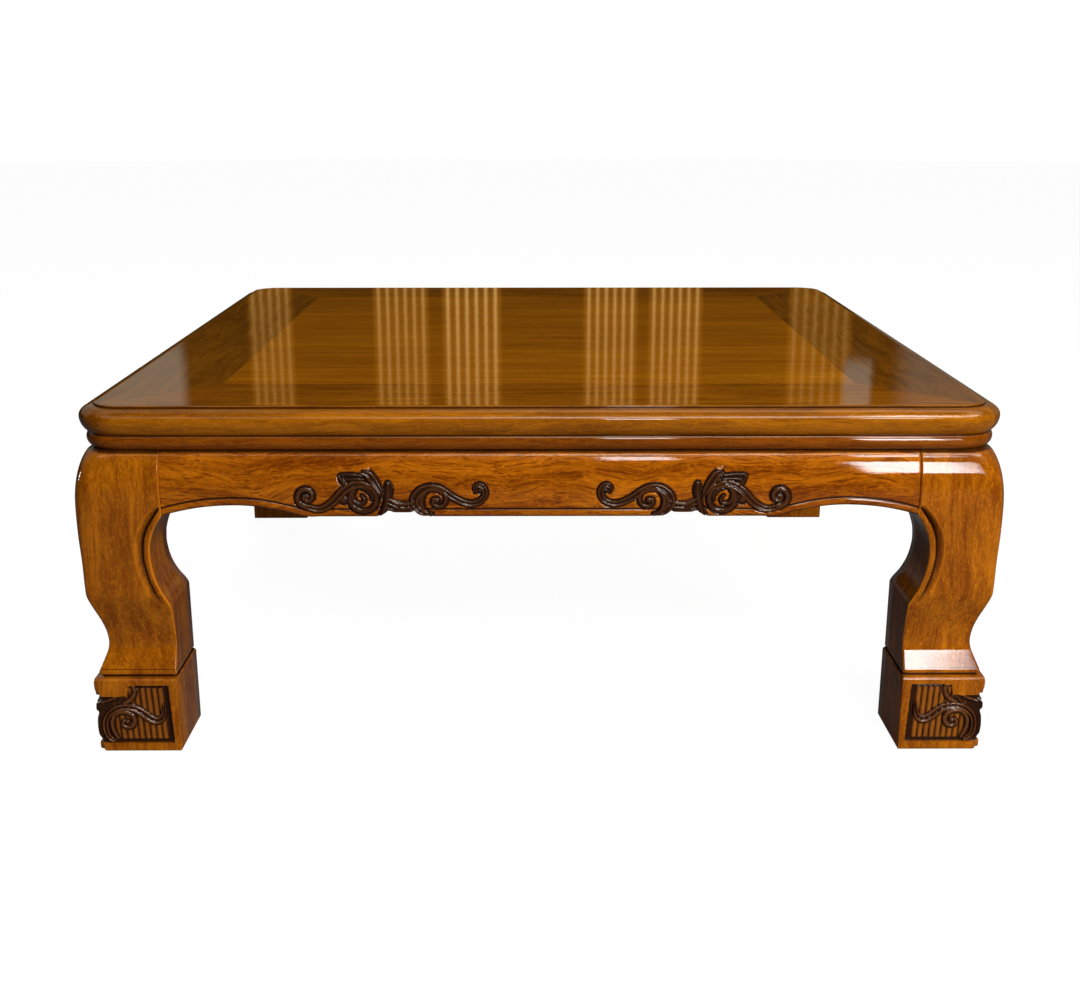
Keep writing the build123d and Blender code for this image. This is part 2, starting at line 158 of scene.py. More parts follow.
class LegSizes(bpy.types.PropertyGroup):
    """Sizes of the four legs."""

    face_chamfer: length("Face chamfer", 6.7, "Width of the slope down to the groove beside the leg's bead")
    foot_top: length("Foot top", 75, "Height of the block foot")
    foot_bulge: length("Foot bulge", 1.6, "How far the foot stands past the setting-out line")
    foot_inset: length("Foot inset", 78.4, "Setting-out line to the inner face of the foot")
    ground: length("Ground", 4, "Depth of the carved ground of the foot")
    reed_pitch: length("Reed pitch", 5.68, "Distance from one upright reed of the foot to the next")


class Finish(bpy.types.PropertyGroup):
    """Colours and gloss of the lacquered wood."""

    panel_light: colour("Panel light", 0.40, 0.134, 0.002, "Light wood of the panel")
    panel_dark: colour("Panel dark", 0.23, 0.064, 0.0008, "Dark wood of the panel")
    top_light: colour("Top light", 0.32, 0.100, 0.002, "Light wood of the front and back of the frame")
    top_dark: colour("Top dark", 0.13, 0.034, 0.0008, "Dark wood of the front and back of the frame")
    side_light: colour("Side light", 0.25, 0.082, 0.003, "Light wood of the sides of the frame")
    side_dark: colour("Side dark", 0.11, 0.033, 0.001, "Dark wood of the sides of the frame")
    roll_light: colour("Roll light", 0.22, 0.056, 0.002, "Light wood of the small roll")
    roll_dark: colour("Roll dark", 0.10, 0.022, 0.0006, "Dark wood of the small roll")
    apron_light: colour("Apron light", 0.40, 0.112, 0.003, "Light wood of the aprons")
    apron_dark: colour("Apron dark", 0.13, 0.026, 0.0008, "Dark wood of the aprons")
    leg_light: colour("Leg light", 0.37, 0.110, 0.003, "Light wood of the legs")
    leg_dark: colour("Leg dark", 0.155, 0.035, 0.0010, "Dark wood of the legs")
    under_light: colour("Under light", 0.20, 0.085, 0.025, "Light wood of the unpolished underside")
    under_dark: colour("Under dark", 0.09, 0.035, 0.011, "Dark wood of the unpolished underside")
    # Also the colour that the stain layer lays as painted shade in grooves, folds, the neck and under the
    # roll.
    carving: colour("Carving", 0.018, 0.0056, 0.002, "Dark stain in the carving")
    # Lightens the carving's high parts and the reed crests, as rubbing and painted highlight.
    ridge: colour("Ridge", 0.115, 0.038, 0.011, "Rubbed ridges of the carving")
    lacquer: share("Lacquer", 1.0, "Strength of the clear coat")
    lacquer_blur: share("Lacquer blur", 0.035, "Roughness of the clear coat")


class StageSettings(bpy.types.PropertyGroup):
    """Floor, backdrop, lights and camera."""

    backdrop: colour("Backdrop", 1.0, 1.0, 1.0, "Backdrop and far floor")
    floor: colour("Floor", 0.14, 0.14, 0.14, "Floor as the object sees it")
    glow: share("Glow", 0.96, "How much the floor glows for the camera")
    room: colour("Room", 0.03, 0.016, 0.004, "Dim room that the gloss shows")
    drape: colour("Drape", 0.22, 0.085, 0.008, "Drapes that the gloss shows")
    fold: colour("Fold", 0.95, 0.56, 0.17, "Lit folds of the drapes")
    pale_wall: colour("Pale wall", 0.36, 0.34, 0.27, "Pale wall and screen that the gloss shows")
    upper_wall: colour("Upper wall", 0.9, 0.75, 0.5, "Upper front wall that the gloss shows")
    ceiling: FloatProperty(
        name="Ceiling", description="Lit cove under the ceiling that the gloss shows", default=14, min=0
    )
    ambient: share("Ambient", 0.13, "Even light from all round")
    key: power("Key", 35, "Soft light from the front right")
    fill: power("Fill", 2, "Soft light from the front")
    overhead: power("Overhead", 9, "Soft light from above")
    window: power("Window", 13, "Small low light at the right")
    strip: power("Strip", 6, "Narrow soft light near the middle")
    high: power("High", 9, "Small high light at the right")
    edge: power("Edge", 2.8, "Dim low light beside the window light")
    rim: power("Rim", 4, "Small light above the window light")
    back: power("Back", 13, "Soft light from behind")
    left: power("Left", 2, "Small low light at the far left")
    focal_length: FloatProperty(
        name="Focal length", description="Lens, in millimetres", default=45.84, min=1
    )
    camera_place: FloatVectorProperty(
        name="Camera", description="Place of the camera", default=(-0.0067, -1.6403, 0.6046),
        subtype="TRANSLATION",
    )
    camera_tilt: FloatProperty(
        name="Tilt", description="Camera tilt from straight down", default=radians(74.107), subtype="ANGLE"
    )
    camera_turn: FloatProperty(
        name="Turn", description="Camera turn to the left", default=radians(-0.305), subtype="ANGLE"
    )


SOFTBOXES = (  # name, place, size in metres, and whether the gloss shows it
    ("key", (0.95, -2.0, 1.4), (1.2, 0.9), False),
    ("fill", (0.1, -2.3, 1.2), (1.2, 0.8), False),
    ("window", (0.757, -1.88, 0.70), (0.2, 0.45), True),
    ("strip", (0.25, -2.19, 1.475), (0.17, 0.4), True),
    ("high", (0.92, -1.18, 2.26), (0.25, 0.3), True),
    ("rim", (0.8, -1.75, 1.45), (0.2, 0.2), True),
    ("matt", (0.8, -1.88, 0.70), (0.36, 0.45), False),
    ("edge", (0.93, -1.88, 0.70), (0.16, 0.45), True),
    ("left", (-1.85, 0.0, 0.42), (0.1, 0.2), True),
    ("back", (-0.9, 2.1, 1.0), (1.2, 0.8), False),
    ("overhead", (0.0, 0.4, 2.4), (1.6, 1.4), False),
)
DRAPES = (  # bearing x / y of the first fold and from one fold to the next, number of folds, strength
    (-0.2035, 0.0062, 5, 0.5),
    (-0.1120, 0.00645, 6, 0.65),
    (-0.0617, 0.0069, 6, 1.0),
    (0.0410, 0.0063, 6, 0.85),
    (0.0884, 0.0063, 6, 0.8),
    (0.1915, 0.0075, 6, 0.35),
)
NOISES = {  # scale along and across the grain, detail, roughness, and shift from the other noises
    "drift": (8, 16, 2.0, 0.5, 0.0),
    "broad": (3, 9, 2.0, 0.5, 3.1),
    "patches": (12, 36, 2.0, 0.5, 4.4),
    "streaks": (5, 120, 4.0, 0.6, 5.3),
    "dashes": (26, 640, 2.5, 0.6, 7.7),
    "fibres": (60, 1100, 2.0, 0.6, 9.1),
    "spots": (240, 620, 2.0, 0.6, 1.9),
    "ripple": (9, 40, 2.0, 0.5, 6.3),
}


def in_mm(group):
    """The lengths of a property group, in millimetres."""
    return SimpleNamespace(**{key: getattr(group, key) * 1000 for key in type(group).__annotations__})


# ---------------------------------------------------------------- curves and blends
def smooth(low, high, value):
    """0 below low, 1 above high, and 3t^2 - 2t^3 of the share t in between."""
    t = np.clip((value - low) / (high - low), 0, 1)
    return t * t * (3 - 2 * t)


def through(knots, at):
    """Curve through (place, value) knots without overshoot: a cubic in each span. Its slope at a knot is
    the weighted harmonic mean of the neighbouring slopes, or level where they differ in sign."""
    place, value = np.array(sorted(knots), float).T
    step = np.diff(place)
    slope = np.diff(value) / step
    tangent = np.concatenate(([slope[0]], np.zeros(len(step) - 1), [slope[-1]]))
    before, after = slope[:-1], slope[1:]
    near, far = 2 * step[1:] + step[:-1], step[1:] + 2 * step[:-1]
    alike = before * after > 0
    mean = near[alike] / before[alike] + far[alike] / after[alike]
    tangent[1:-1][alike] = (near + far)[alike] / mean
    at = np.clip(at, place[0], place[-1])
    span = np.clip(np.searchsorted(place, at) - 1, 0, len(step) - 1)
    t = (at - place[span]) / step[span]
    return (
        (1 + 2 * t) * (1 - t) ** 2 * value[span]
        + t * (1 - t) ** 2 * step[span] * tangent[span]
        + t * t * (3 - 2 * t) * value[span + 1]
        + t * t * (t - 1) * step[span] * tangent[span + 1]
    )


def arc(start, middle, end, count):
    """Points along the circle through three points: centre c and radius r from the crossing of the two
    perpendicular bisectors, then c + r (cos a, sin a) with the angle a running evenly past the middle
    point."""
    start, middle, end = (np.array(p, float) for p in (start, middle, end))
    sides = np.array([middle - start, end - start])
    centre = np.linalg.solve(2 * sides, [middle @ middle - start @ start, end @ end - start @ start])
    angles = np.unwrap(np.arctan2(*(np.array([start, middle, end]) - centre).T[::-1]))
    turn = np.linspace(angles[0], angles[2], count)[:, None]
    return centre + np.hypot(*(start - centre)) * np.hstack((np.cos(turn), np.sin(turn)))


def bow(height):
    """Inset of a leg's outer face. Over the shoulder's widest line it is a quarter ellipse, -bulge + fall
    (1 - sqrt(1 - u^2)) with u the share of the shoulder's height; below, it passes through the knots of
    belly, knee, shin, ankle, neck band and neck groove."""
    knots = [
        (75, 5.7), (76.3, 5.8), (77.2, 5.0), (77.8, 3.6), (79, 3.4), (80.6, 3.4), (81.4, 3.7), (83, 4.4),
        (92, 8.3), (98, 10.7), (102, 11.8), (108, 12.4), (118, 11.4), (130, 8.4), (145, 3.2), (155, -0.1),
        (159, -1.0), (168, -1.5), (190, -2.3), (220, -4.0), (SHOULDER, -SHOULDER_BULGE),
        (260, -SHOULDER_BULGE),
    ]
    rise = np.clip((height - SHOULDER) / (ROLL_BOTTOM - SHOULDER), 0, 1)
    ellipse = -SHOULDER_BULGE + SHOULDER_FALL * (1 - np.sqrt(1 - rise**2))
    return np.where(height > SHOULDER, ellipse, through(knots, height))


def shoulder_heights(low, count, fine_top, fine_step):
    """Heights from low up to the roll: even steps up to fine_top, then even angles a round the shoulder's
    ellipse, height = widest line + h sin a, h being the shoulder's height."""
    tall = ROLL_BOTTOM - SHOULDER
    even = np.arange(low, fine_top, fine_step)
    start = np.arcsin((fine_top - SHOULDER) / tall)
    return np.concatenate((even, SHOULDER + tall * np.sin(np.linspace(start, pi / 2, count))))


def rebate(height):
    """Depth of the shallow rebate in the top 3 mm of legs and aprons, under the roll, and the painted shade
    laid in it.
    """
    deep = 1.4 * smooth(ROLL_BOTTOM - 3.2, ROLL_BOTTOM - 2.6, height)
    return deep, 0.7 * smooth(ROLL_BOTTOM - 3.6, ROLL_BOTTOM - 2.4, height)


# ---------------------------------------------------------------- meshes
def turned(points, quarter_turns):
    """Points of a front piece turned clockwise, seen from above: each quarter takes (x, y) to (y, -x)."""
    x, y, z = np.moveaxis(points, -1, 0)
    for _ in range(quarter_turns % 4):
        x, y = y, -x
    return np.stack((x, y, z), axis=-1)


def tube(rings):
    """Faces of a closed skin over a grid of rings, an array (rings, points, 3): each ring is joined to
    the next by four-sided faces, and the first and last ring are each closed by one face."""
    count, size = rings.shape[:2]
    at = np.arange(count * size).reshape(count, size)
    beside = np.roll(at, -1, axis=1)
    quads = np.stack((at[:-1], beside[:-1], beside[1:], at[1:]), axis=-1).reshape(-1, 4)
    return quads.tolist() + [at[0, ::-1].tolist(), at[-1].tolist()]


def add_piece(name, nodes, slot, material, shells, crease=38, **layers):
    """One mesh of one or more ring grids, set in place of its packed nodes. Double points are merged and
    faces turned outward; edges sharper than the crease stay crisp. Each layer is a value per point for
    the finish."""
    points, faces = [], []
    for rings in shells:
        start = sum(len(block) for block in points)
        faces += [[start + corner for corner in face] for face in tube(rings)]
        points.append(rings.reshape(-1, 3) / 1000)
    mesh = bpy.data.meshes.new(name)
    mesh.from_pydata(np.concatenate(points).tolist(), [], faces)
    for layer, values in layers.items():
        mesh.attributes.new(layer, "FLOAT", "POINT").data.foreach_set(
            "value", np.concatenate([block.ravel() for block in values]).astype(np.float32)
        )
    work = bmesh.new()
    work.from_mesh(mesh)
    bmesh.ops.remove_doubles(work, verts=work.verts, dist=2e-6)
    bmesh.ops.recalc_face_normals(work, faces=work.faces)
    work.to_mesh(mesh)
    work.free()
    mesh.shade_smooth()
    mesh.set_sharp_from_angle(angle=radians(crease))
    mesh.materials.append(material)
    piece = bpy.data.objects.new(name, mesh)
    bpy.context.scene.collection.objects.link(piece)
    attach(piece, "root")
    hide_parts(*nodes)


def mitred(profile, radius, columns=9, corner_steps=12):
    """A loop of (inset t, height) points carried along a front member, as rings. Round a corner of plan
    radius r it follows x = R - r + (r - t) sin a, y = r - R - (r - t) cos a, with the angle a from 0 to
    45 degrees; further in, y = t - R and x keeps its share of R - t, so that both ends lie on the
    mitre."""
    turn = np.radians(np.linspace(0, 45, corner_steps)[1:])
    along = np.concatenate((-np.ones(len(turn)), np.linspace(-1, 1, columns), np.ones(len(turn))))
    angle = np.concatenate((-turn[::-1], np.zeros(columns), turn))
    inset, height = profile.T
    left = np.maximum(radius - inset, 0)
    x = along[:, None] * (REACH - np.maximum(inset, radius)) + left * np.sin(angle)[:, None]
    y = np.where(inset < radius, radius - REACH - left * np.cos(angle)[:, None], inset - REACH)
    return np.stack((x, y, np.broadcast_to(height, x.shape)), axis=-1)


# ---------------------------------------------------------------- carving
THINNEST = 0.4  # least half width of a carved stroke
STAIN_REACH = 2.0  # how far the stain goes past a stroke's edge


def stroke(points, shape="round", tall=1.0, tone=1.0):
    """A carved stroke through points (across, up, half width): a Catmull-Rom curve, ten steps a span."""
    knots = np.array(points, float)
    knots = np.vstack((2 * knots[0] - knots[1], knots, 2 * knots[-1] - knots[-2]))
    t = np.linspace(0, 1, 11)[:-1, None, None]
    a, b, c, d = knots[:-3], knots[1:-2], knots[2:-1], knots[3:]
    square, cube = 2 * a - 5 * b + 4 * c - d, 3 * b - a - 3 * c + d
    line = 0.5 * (2 * b + (c - a) * t + square * t**2 + cube * t**3)
    line = np.vstack((line.transpose(1, 0, 2).reshape(-1, 3), knots[-2]))
    line[:, 2] = np.maximum(line[:, 2], THINNEST)
    return SimpleNamespace(line=line, shape=shape, tall=tall, tone=tone)


def spiral(centre, start, turn, radius, width, tall):
    """A carved round spiral about a centre: points at radius r and angle a, which run evenly from the
    first to the last, as its half width does."""
    along = np.linspace(0, 1, 80)
    a = np.radians(start + turn * along)
    r, w = (first + (last - first) * along for first, last in (radius, width))
    line = np.column_stack((centre[0] + r * np.cos(a), centre[1] + r * np.sin(a), w))
    return SimpleNamespace(line=line, shape="round", tall=tall, tone=1.0)


def knob(across, up, radius, tall):
    """A round carved button, a very short stroke."""
    return stroke([(across - 0.1, up, radius), (across + 0.1, up, radius)], "round", tall)


SECTIONS = {
    "round": lambda q: np.sqrt(1 - q**2),
    "keel": lambda q: (1 - q) ** 0.7,
    "fluted": lambda q: np.minimum(1, (1 - q) / 0.28) ** 0.5 * (1 - 0.62 * np.exp(-((q / 0.36) ** 2))),
}


def carve(across, up, strokes, fuller):
    """Height share, stain and ridge at every point; the ridge is rubbing and painted highlight on the
    strokes' high parts. With q the distance to a stroke's middle line over its half width there, its
    height is its tallness times sqrt(1 - q^2) where round, (1 - q)^0.7 where keeled, and a flat ribbon
    with a hollow exp(-(q / 0.36)^2) down its middle where fluted. The tallest stroke counts, and the
    stain reaches a little past it. Every stroke is made wider by the factor fuller."""
    height, stain, ridge = (np.zeros(across.shape) for _ in range(3))
    for one in strokes:
        line = one.line
        reach = line[:, 2].max() * fuller + STAIN_REACH + 0.5
        near = (
            (across > line[:, 0].min() - reach) & (across < line[:, 0].max() + reach)
            & (up > line[:, 1].min() - reach) & (up < line[:, 1].max() + reach)
        )
        x, z = across[near][:, None], up[near][:, None]
        first, step = line[:-1], np.diff(line, axis=0)
        long = np.maximum(step[:, 0] ** 2 + step[:, 1] ** 2, 1e-9)
        dx, dz = x - first[:, 0], z - first[:, 1]
        t = np.clip((dx * step[:, 0] + dz * step[:, 1]) / long, 0, 1)
        away = np.hypot(dx - t * step[:, 0], dz - t * step[:, 1])
        width = fuller * (first[:, 2] + t * step[:, 2])
        best = np.argmin(away / width, axis=1)
        rows = np.arange(len(best))
        away, width = away[rows, best], width[rows, best]
        q = np.minimum(away / width, 1)
        rise = one.tall * SECTIONS[one.shape](q)
        over = rise > height[near]
        height[near] = np.where(over, rise, height[near])
        # Ridge: lighter toward the stroke's top, as rubbing and painted highlight.
        ridge[near] = np.where(over, rise * (2 - one.tone), ridge[near])
        stain[near] = np.maximum(stain[near], one.tone * (1 - smooth(0.3, STAIN_REACH, away - width)))
    return height, stain, np.clip(ridge, 0, 1)


def apron_strokes():
    """Scrolls of one half of an apron, placed by distance from its middle and height: an outer volute
    with an S ribbon and leaves, a ring, a short link of three long leaves and the big inner scroll with
    its curled tail."""
    return [
        stroke([(115.5, 251.6, 1.2), (121, 249.2, 1.9), (128, 248.6, 2.1), (134.5, 250.6, 1.9),
                (140, 254.5, 1.2)],
               "keel", 0.85, 0.8),
        stroke([(114.5, 247, 1.0), (120, 244.9, 1.7), (127, 244.4, 1.9), (134, 246.2, 1.9),
                (140, 249.5, 1.2)],
               "keel", 0.8, 0.85),
        stroke([(118, 242.4, 0.9), (126, 241.9, 1.3), (134, 242.6, 1.4), (140.5, 244.6, 1.1)],
               "round", 0.7, 0.8),
        spiral((214.5, 256), -90, 470, (9.6, 2.2), (2.7, 1.7), 0.95),
        knob(214.3, 256.4, 2.2, 0.9),
        stroke([(214.5, 246.4, 2.4), (205, 243.8, 2.6), (197, 246.2, 3.0), (190, 251.5, 3.2),
                (184.5, 257.5, 3.3), (179, 262.5, 3.3), (172, 266.6, 3.2), (163, 267.3, 2.9),
                (154, 264.5, 1.8)], "fluted", 0.9, 0.82),
        stroke([(184.5, 275.5, 0.8), (181, 270, 2.2), (178, 266, 2.8)], "keel", 0.9),
        stroke([(182.3, 276.2, 1.0), (173, 276, 1.4), (163.6, 275.2, 1.2)], "round", 0.6),
        stroke([(177.8, 271.7, 1.2), (170, 272, 1.4), (162.4, 271.7, 1.2)], "round", 0.6),
        stroke([(161.5, 278, 1.8), (157, 276, 3.2), (152, 269.5, 3.4), (147, 261, 2.4), (145, 256, 1.2)],
               "fluted"),
        stroke([(139.7, 267.5, 2.4), (139.6, 262, 3.6), (140.5, 254, 2.9), (142.5, 246, 2.7),
                (145.5, 239, 2.6)],
               "keel", 0.9),
        spiral((162.5, 254), 65, 340, (12.4, 12.0), (2.2, 2.5), 0.85),
        stroke([(171.5, 260.9, 1.6), (172.2, 256.5, 1.9), (171.1, 252.4, 2.0), (167.6, 249.4, 1.8),
                (163.2, 249.6, 1.6), (161.2, 253.2, 1.4), (163.6, 256.6, 1.2)], "round", 0.85),
        stroke([(163.5, 263.2, 0.9), (158.2, 261.6, 1.7), (154.8, 257.4, 1.7), (154.4, 252.5, 1.0)],
               "round", 0.75),
        knob(180.8, 253.2, 3.8, 0.9),
        stroke([(100, 238.9, 1.5), (109, 240.8, 2.4), (114.6, 246.6, 3.2), (115.4, 254, 3.6),
                (110.5, 260.8, 3.4), (102.5, 264.2, 3.2), (94, 263.6, 3.0), (87, 260, 2.8),
                (79, 254.5, 2.7), (70, 250.3, 2.6), (62, 249.2, 2.6), (55, 252, 2.5), (50.8, 258, 2.4),
                (51.8, 264, 2.3), (56.2, 266.8, 2.1), (60, 264.2, 1.7), (59.3, 260.6, 1.3)], "fluted"),
        knob(55.6, 261.6, 1.9, 0.8),
        spiral((95.3, 252.6), -50, 425, (15.6, 2.8), (2.3, 1.6), 0.9),
        knob(95.3, 252.4, 2.6, 0.95),
    ]


def foot_strokes():
    """Scrolls on an outer face of a foot, placed by inset from the setting-out line and height: the outer
    S arm, the inner spiral with its eye, the hooked leaf above them and two small leaves at the corner."""
    return [
        stroke([(14, 10.8, 1.6), (8.8, 14.5, 2.2), (6.6, 21, 2.4), (6.6, 29.5, 2.5), (9.5, 36.5, 2.6),
                (16.5, 42.8, 2.8), (26.5, 45.2, 3.0), (36, 43.6, 3.4), (43.5, 38.6, 3.8),
                (50, 33.4, 3.8), (56.5, 31.2, 3.4), (61.5, 34.8, 2.6), (63.8, 41, 1.8),
                (64.2, 48.5, 0.7)], "fluted"),
        stroke([(17.5, 12.6, 1.6), (13.2, 22, 2.0), (12.8, 31, 2.1), (17, 38, 2.1), (24.4, 40.2, 2.2),
                (31.6, 37.6, 2.4), (34.6, 31.5, 2.4), (32, 25.8, 2.2), (27, 24.2, 1.8),
                (22.7, 27.2, 1.6), (24.2, 31, 1.4)], "round", 0.92),
        knob(27.4, 30.2, 2.6, 0.9),
        stroke([(29.5, 69.4, 1.5), (34.4, 68.4, 1.9), (36.6, 63.5, 2.1), (35.4, 57.5, 2.2),
                (31.5, 52.5, 2.4), (25.5, 49.3, 1.6)], "round", 0.95),
        stroke([(4.5, 50.2, 1.4), (13, 52.8, 2.7), (20, 56, 1.8)], "keel", 0.9),
        stroke([(19.5, 48.8, 1.6), (24.8, 54.8, 2.0)], "keel", 0.8),
    ]


# ---------------------------------------------------------------- shapes of the pieces
def frame_profile(top):
    """Loop of a frame member. From the field it goes down the small step at inset s, then over the big
    roll: a quarter ellipse, inset s - (s + o) sin a and height nose + rise cos a, o being the overhang,
    and under it the circle of radius r that stands upright at the nose and ends in the quirk, inset
    r (1 - cos b) - o and height nose - r sin b."""
    shelf, s = TOP - top.field_step, top.field_inset
    nose = shelf - top.roll_rise
    a = np.linspace(0, pi / 2, 18)[1:, None]
    upper = np.hstack((s - (s + EDGE_OVERHANG) * np.sin(a), nose + top.roll_rise * np.cos(a)))
    deep, tall = top.quirk + EDGE_OVERHANG, nose - FRAME_BOTTOM
    r = (deep**2 + tall**2) / (2 * deep)
    b = np.linspace(0, np.arcsin(tall / r), 14)[1:, None]
    lower = np.hstack((r * (1 - np.cos(b)) - EDGE_OVERHANG, nose - r * np.sin(b)))
    e = top.arris
    return np.vstack((
        [(FRAME_WIDTH, FRAME_BOTTOM), (FRAME_WIDTH, TOP - e), (FRAME_WIDTH - e, TOP), (46, TOP),
         (s + 4, TOP), (s + 0.8, TOP), (s + 0.24, TOP - 0.24), (s, TOP - 0.8), (s, shelf + 0.5),
         (s - 0.15, shelf + 0.15), (s - 0.5, shelf)],
        upper, lower, [(60, FRAME_BOTTOM)],
    ))


def roll_profile(top):
    """Loop of the strip under the frame: its face is the arc from the quirk over the small roll's widest
    line to its foot."""
    face = arc(
        (top.quirk, FRAME_BOTTOM), (top.small_roll, (FRAME_BOTTOM + ROLL_BOTTOM) / 2),
        (top.small_roll_foot, ROLL_BOTTOM), 15,
    )
    back = [(top.small_roll_width, ROLL_BOTTOM), (top.small_roll_width, FRAME_BOTTOM), (40, FRAME_BOTTOM)]
    return np.vstack((face, back))


def fold_painted_shade(rings):
    """Painted shade in the fold between the two rolls, within a millimetre of its height, and under the
    small roll; it ends 32 mm in from the setting-out line."""
    height = rings[..., 2]
    fold = 0.85 * (1 - smooth(0.2, 1.3, np.abs(height - FRAME_BOTTOM)))
    under = 0.8 * (1 - smooth(0.2, 1.0, height - ROLL_BOTTOM))
    return (fold + under) * (1 - smooth(22, 32, REACH + rings[..., 1]))


def board(half_x, near, far, arris):
    """A panel board as rings of its rectangle: straight sides, then a small flat arris all round its
    face."""
    inset, height = np.array([0, 0, arris]), np.array([PANEL_BOTTOM, TOP - arris, TOP])
    corners = np.array([(-1, 0), (1, 0), (1, 1), (-1, 1)])
    x = corners[:, 0] * (half_x - inset[:, None])
    y = np.where(corners[:, 1] == 0, near + inset[:, None], far - inset[:, None])
    return np.stack((x, y, np.broadcast_to(height[:, None], x.shape)), axis=-1)


def lower_edge(x, shift):
    """Rise of the apron's lower edge at distance x from its middle: a raised link between two S
    shoulders, moved outward by the shift, and beside the leg an arch through its knots."""
    arch = [
        (205, 0), (211, -0.35), (215, 0), (219, 0.5), (225, 2.0), (235.7, 4.8), (248, 7.4), (258, 9.1),
        (268, 10.2), (281, 10.8), (293, 10.5), (309.5, 9.2), (326, 6.6), (340.8, 3.2), (349, 1.0),
        (352, 0.3),
    ]
    near, far, shoulder, rise = 105.5, 151.5, 12, 5
    up = smooth(near, near + shoulder, x - shift)
    down = smooth(far - shoulder, far, x - shift)
    return rise * up * (1 - down) + through(arch, x)


def apron_rings(apron):
    """The front apron as closed loops, one per column, with the stain and ridge of its carving; the stain
    layer also carries painted shade in the groove over the bead, along the lower edge and under the roll,
    and a dark joint line at the apron's ends. The face lies at inset setback + bow(z) + s - relief *
    carving. Over the lower edge s is the bead, 0.2 + (depth - 0.2)(1 - sqrt(1 - q^2)) with q across it,
    then the groove, which fades upward. Columns lie close where the carving is, and heights close over
    bead and groove."""
    half = REACH - apron.end_inset
    carved_from, carved_to, plain_face = 44, 235, 10.6
    side = np.concatenate((
        np.arange(0, carved_from, 4), np.arange(carved_from, carved_to, 0.62),
        np.arange(carved_to, half - 0.8, 3.5), [half - 0.8, half - 0.25, half],
    ))
    x = np.concatenate((-side[:0:-1], side))
    low = apron.lower_edge + lower_edge(np.abs(x), apron.right_shift * (x > 0))
    bead_steps = np.array(
        [0, 0.15, 0.5, 1, 1.7, 2.5, 3.4, 4.3, 5.1, 5.9, 6.5, 7.0, 7.3, 7.7, 8.2, 8.8, 9.4, 10.0]
    )
    body = shoulder_heights(apron.lower_edge + plain_face, 16, 280, 0.66)
    share_up = (body - body[0]) / (ROLL_BOTTOM - body[0])
    start = low[:, None] + plain_face
    z = np.hstack((low[:, None] + bead_steps, start + share_up * (ROLL_BOTTOM - start)))
    across = np.repeat(np.abs(x)[:, None], z.shape[1], axis=1)
    over = z - low[:, None]
    q = np.clip(np.abs(over - apron.bead / 2) / (apron.bead / 2), 0, 1)
    depth = np.where(over < apron.bead / 2, apron.bead_depth, apron.groove)
    bead = 0.2 + (depth - 0.2) * (1 - np.sqrt(1 - q**2))
    groove = apron.groove * (1 - smooth(0, 1, (over - apron.bead - 0.3) / 1.6))
    sunk = np.where(over < apron.bead, bead, groove)
    place = np.where(x[:, None] > 0, across - apron.right_shift, across)
    height, stain, ridge = carve(place, z, apron_strokes(), 1.18)
    cover = smooth(0, 0.25, height)
    halo = np.clip(stain, 0, 1) * (1 - cover) * 1.1
    end = 0.35 * smooth(half - 0.8, half, across)
    deep, shade = rebate(z)
    inset = apron.setback + bow(z) + sunk * (1 - cover) + halo + end + deep - apron.relief * height
    # Painted shade: dark lines in the groove over the bead and along the lower edge.
    line = np.minimum(np.abs(over - apron.bead - 0.3) / 1.5, np.abs(over - 0.4) / 1.1)
    stain = np.maximum(stain, 0.8 * (1 - smooth(0.3, 1, line)) * (1 - cover))
    # Painted shade under the roll (from rebate), and a dark joint line at the apron's ends.
    stain = np.maximum(stain, np.maximum(shade, 0.6 * end / 0.35))
    behind = [20, apron.thickness, apron.thickness, apron.thickness - 0.8, 14]
    z = np.hstack((z, np.full((len(x), 2), ROLL_BOTTOM), low[:, None] + np.array([0.8, 0, 0])))
    inset = np.hstack((inset, np.broadcast_to(behind, (len(x), 5))))
    rings = np.stack((np.repeat(x[:, None], z.shape[1], axis=1), inset - REACH, z), axis=-1)
    pad = [(0, 0), (0, 5)]
    return rings, np.pad(stain, pad), np.pad(0.75 * ridge, pad)


LEG_CURVES = (  # knots (height, value) of the curves that a leg's two outer faces follow
    # inset of the inner edge
    [(75, 77.5), (76.3, 75), (77.6, 77), (100, 77), (146, 77), (148, 76.4), (152, 74.8), (161, 70.2),
     (168, 67.4), (175, 65.2), (185, 63.2), (196, 62.2), (205, 62.6), (217, 65.2), (228, 70), (234, 73.8),
     (237.6, 76), (ROLL_BOTTOM, 76)],
    # inset of the groove beside the bead
    [(75, 80), (146, 70.5), (148, 69.5), (156, 66.6), (165, 63), (175, 59.6), (185, 57.3), (196, 55.8),
     (206, 56.2), (215, 57.6), (225, 61), (234, 66.4), (238, 69.3), (242, 72.5), (246, 76.6),
     (ROLL_BOTTOM, 90)],
    # depth of that groove
    [(75, 0), (146, 0), (150, 0.5), (160, 1.8), (175, 3.2), (190, 4.2), (206, 4.8), (220, 5.6), (234, 6.4),
     (240, 5.6), (244, 2.8), (247, 0.3), (249, 0), (ROLL_BOTTOM, 0)],
    # radius of the outer corner
    [(75, 2), (147, 2.4), (160, 3), (190, 6), (240, 12), (270, 18), (288, 25), (ROLL_BOTTOM, 31)],
    # place q on the bead's half-ellipse that the inner edge reaches: 1 at the groove, -1 at its far side
    [(75, -1), (236, -1), (238, -0.8), (240, -0.46), (242, 0), (244, 0.5), (246, 1), (ROLL_BOTTOM, 1)],
)


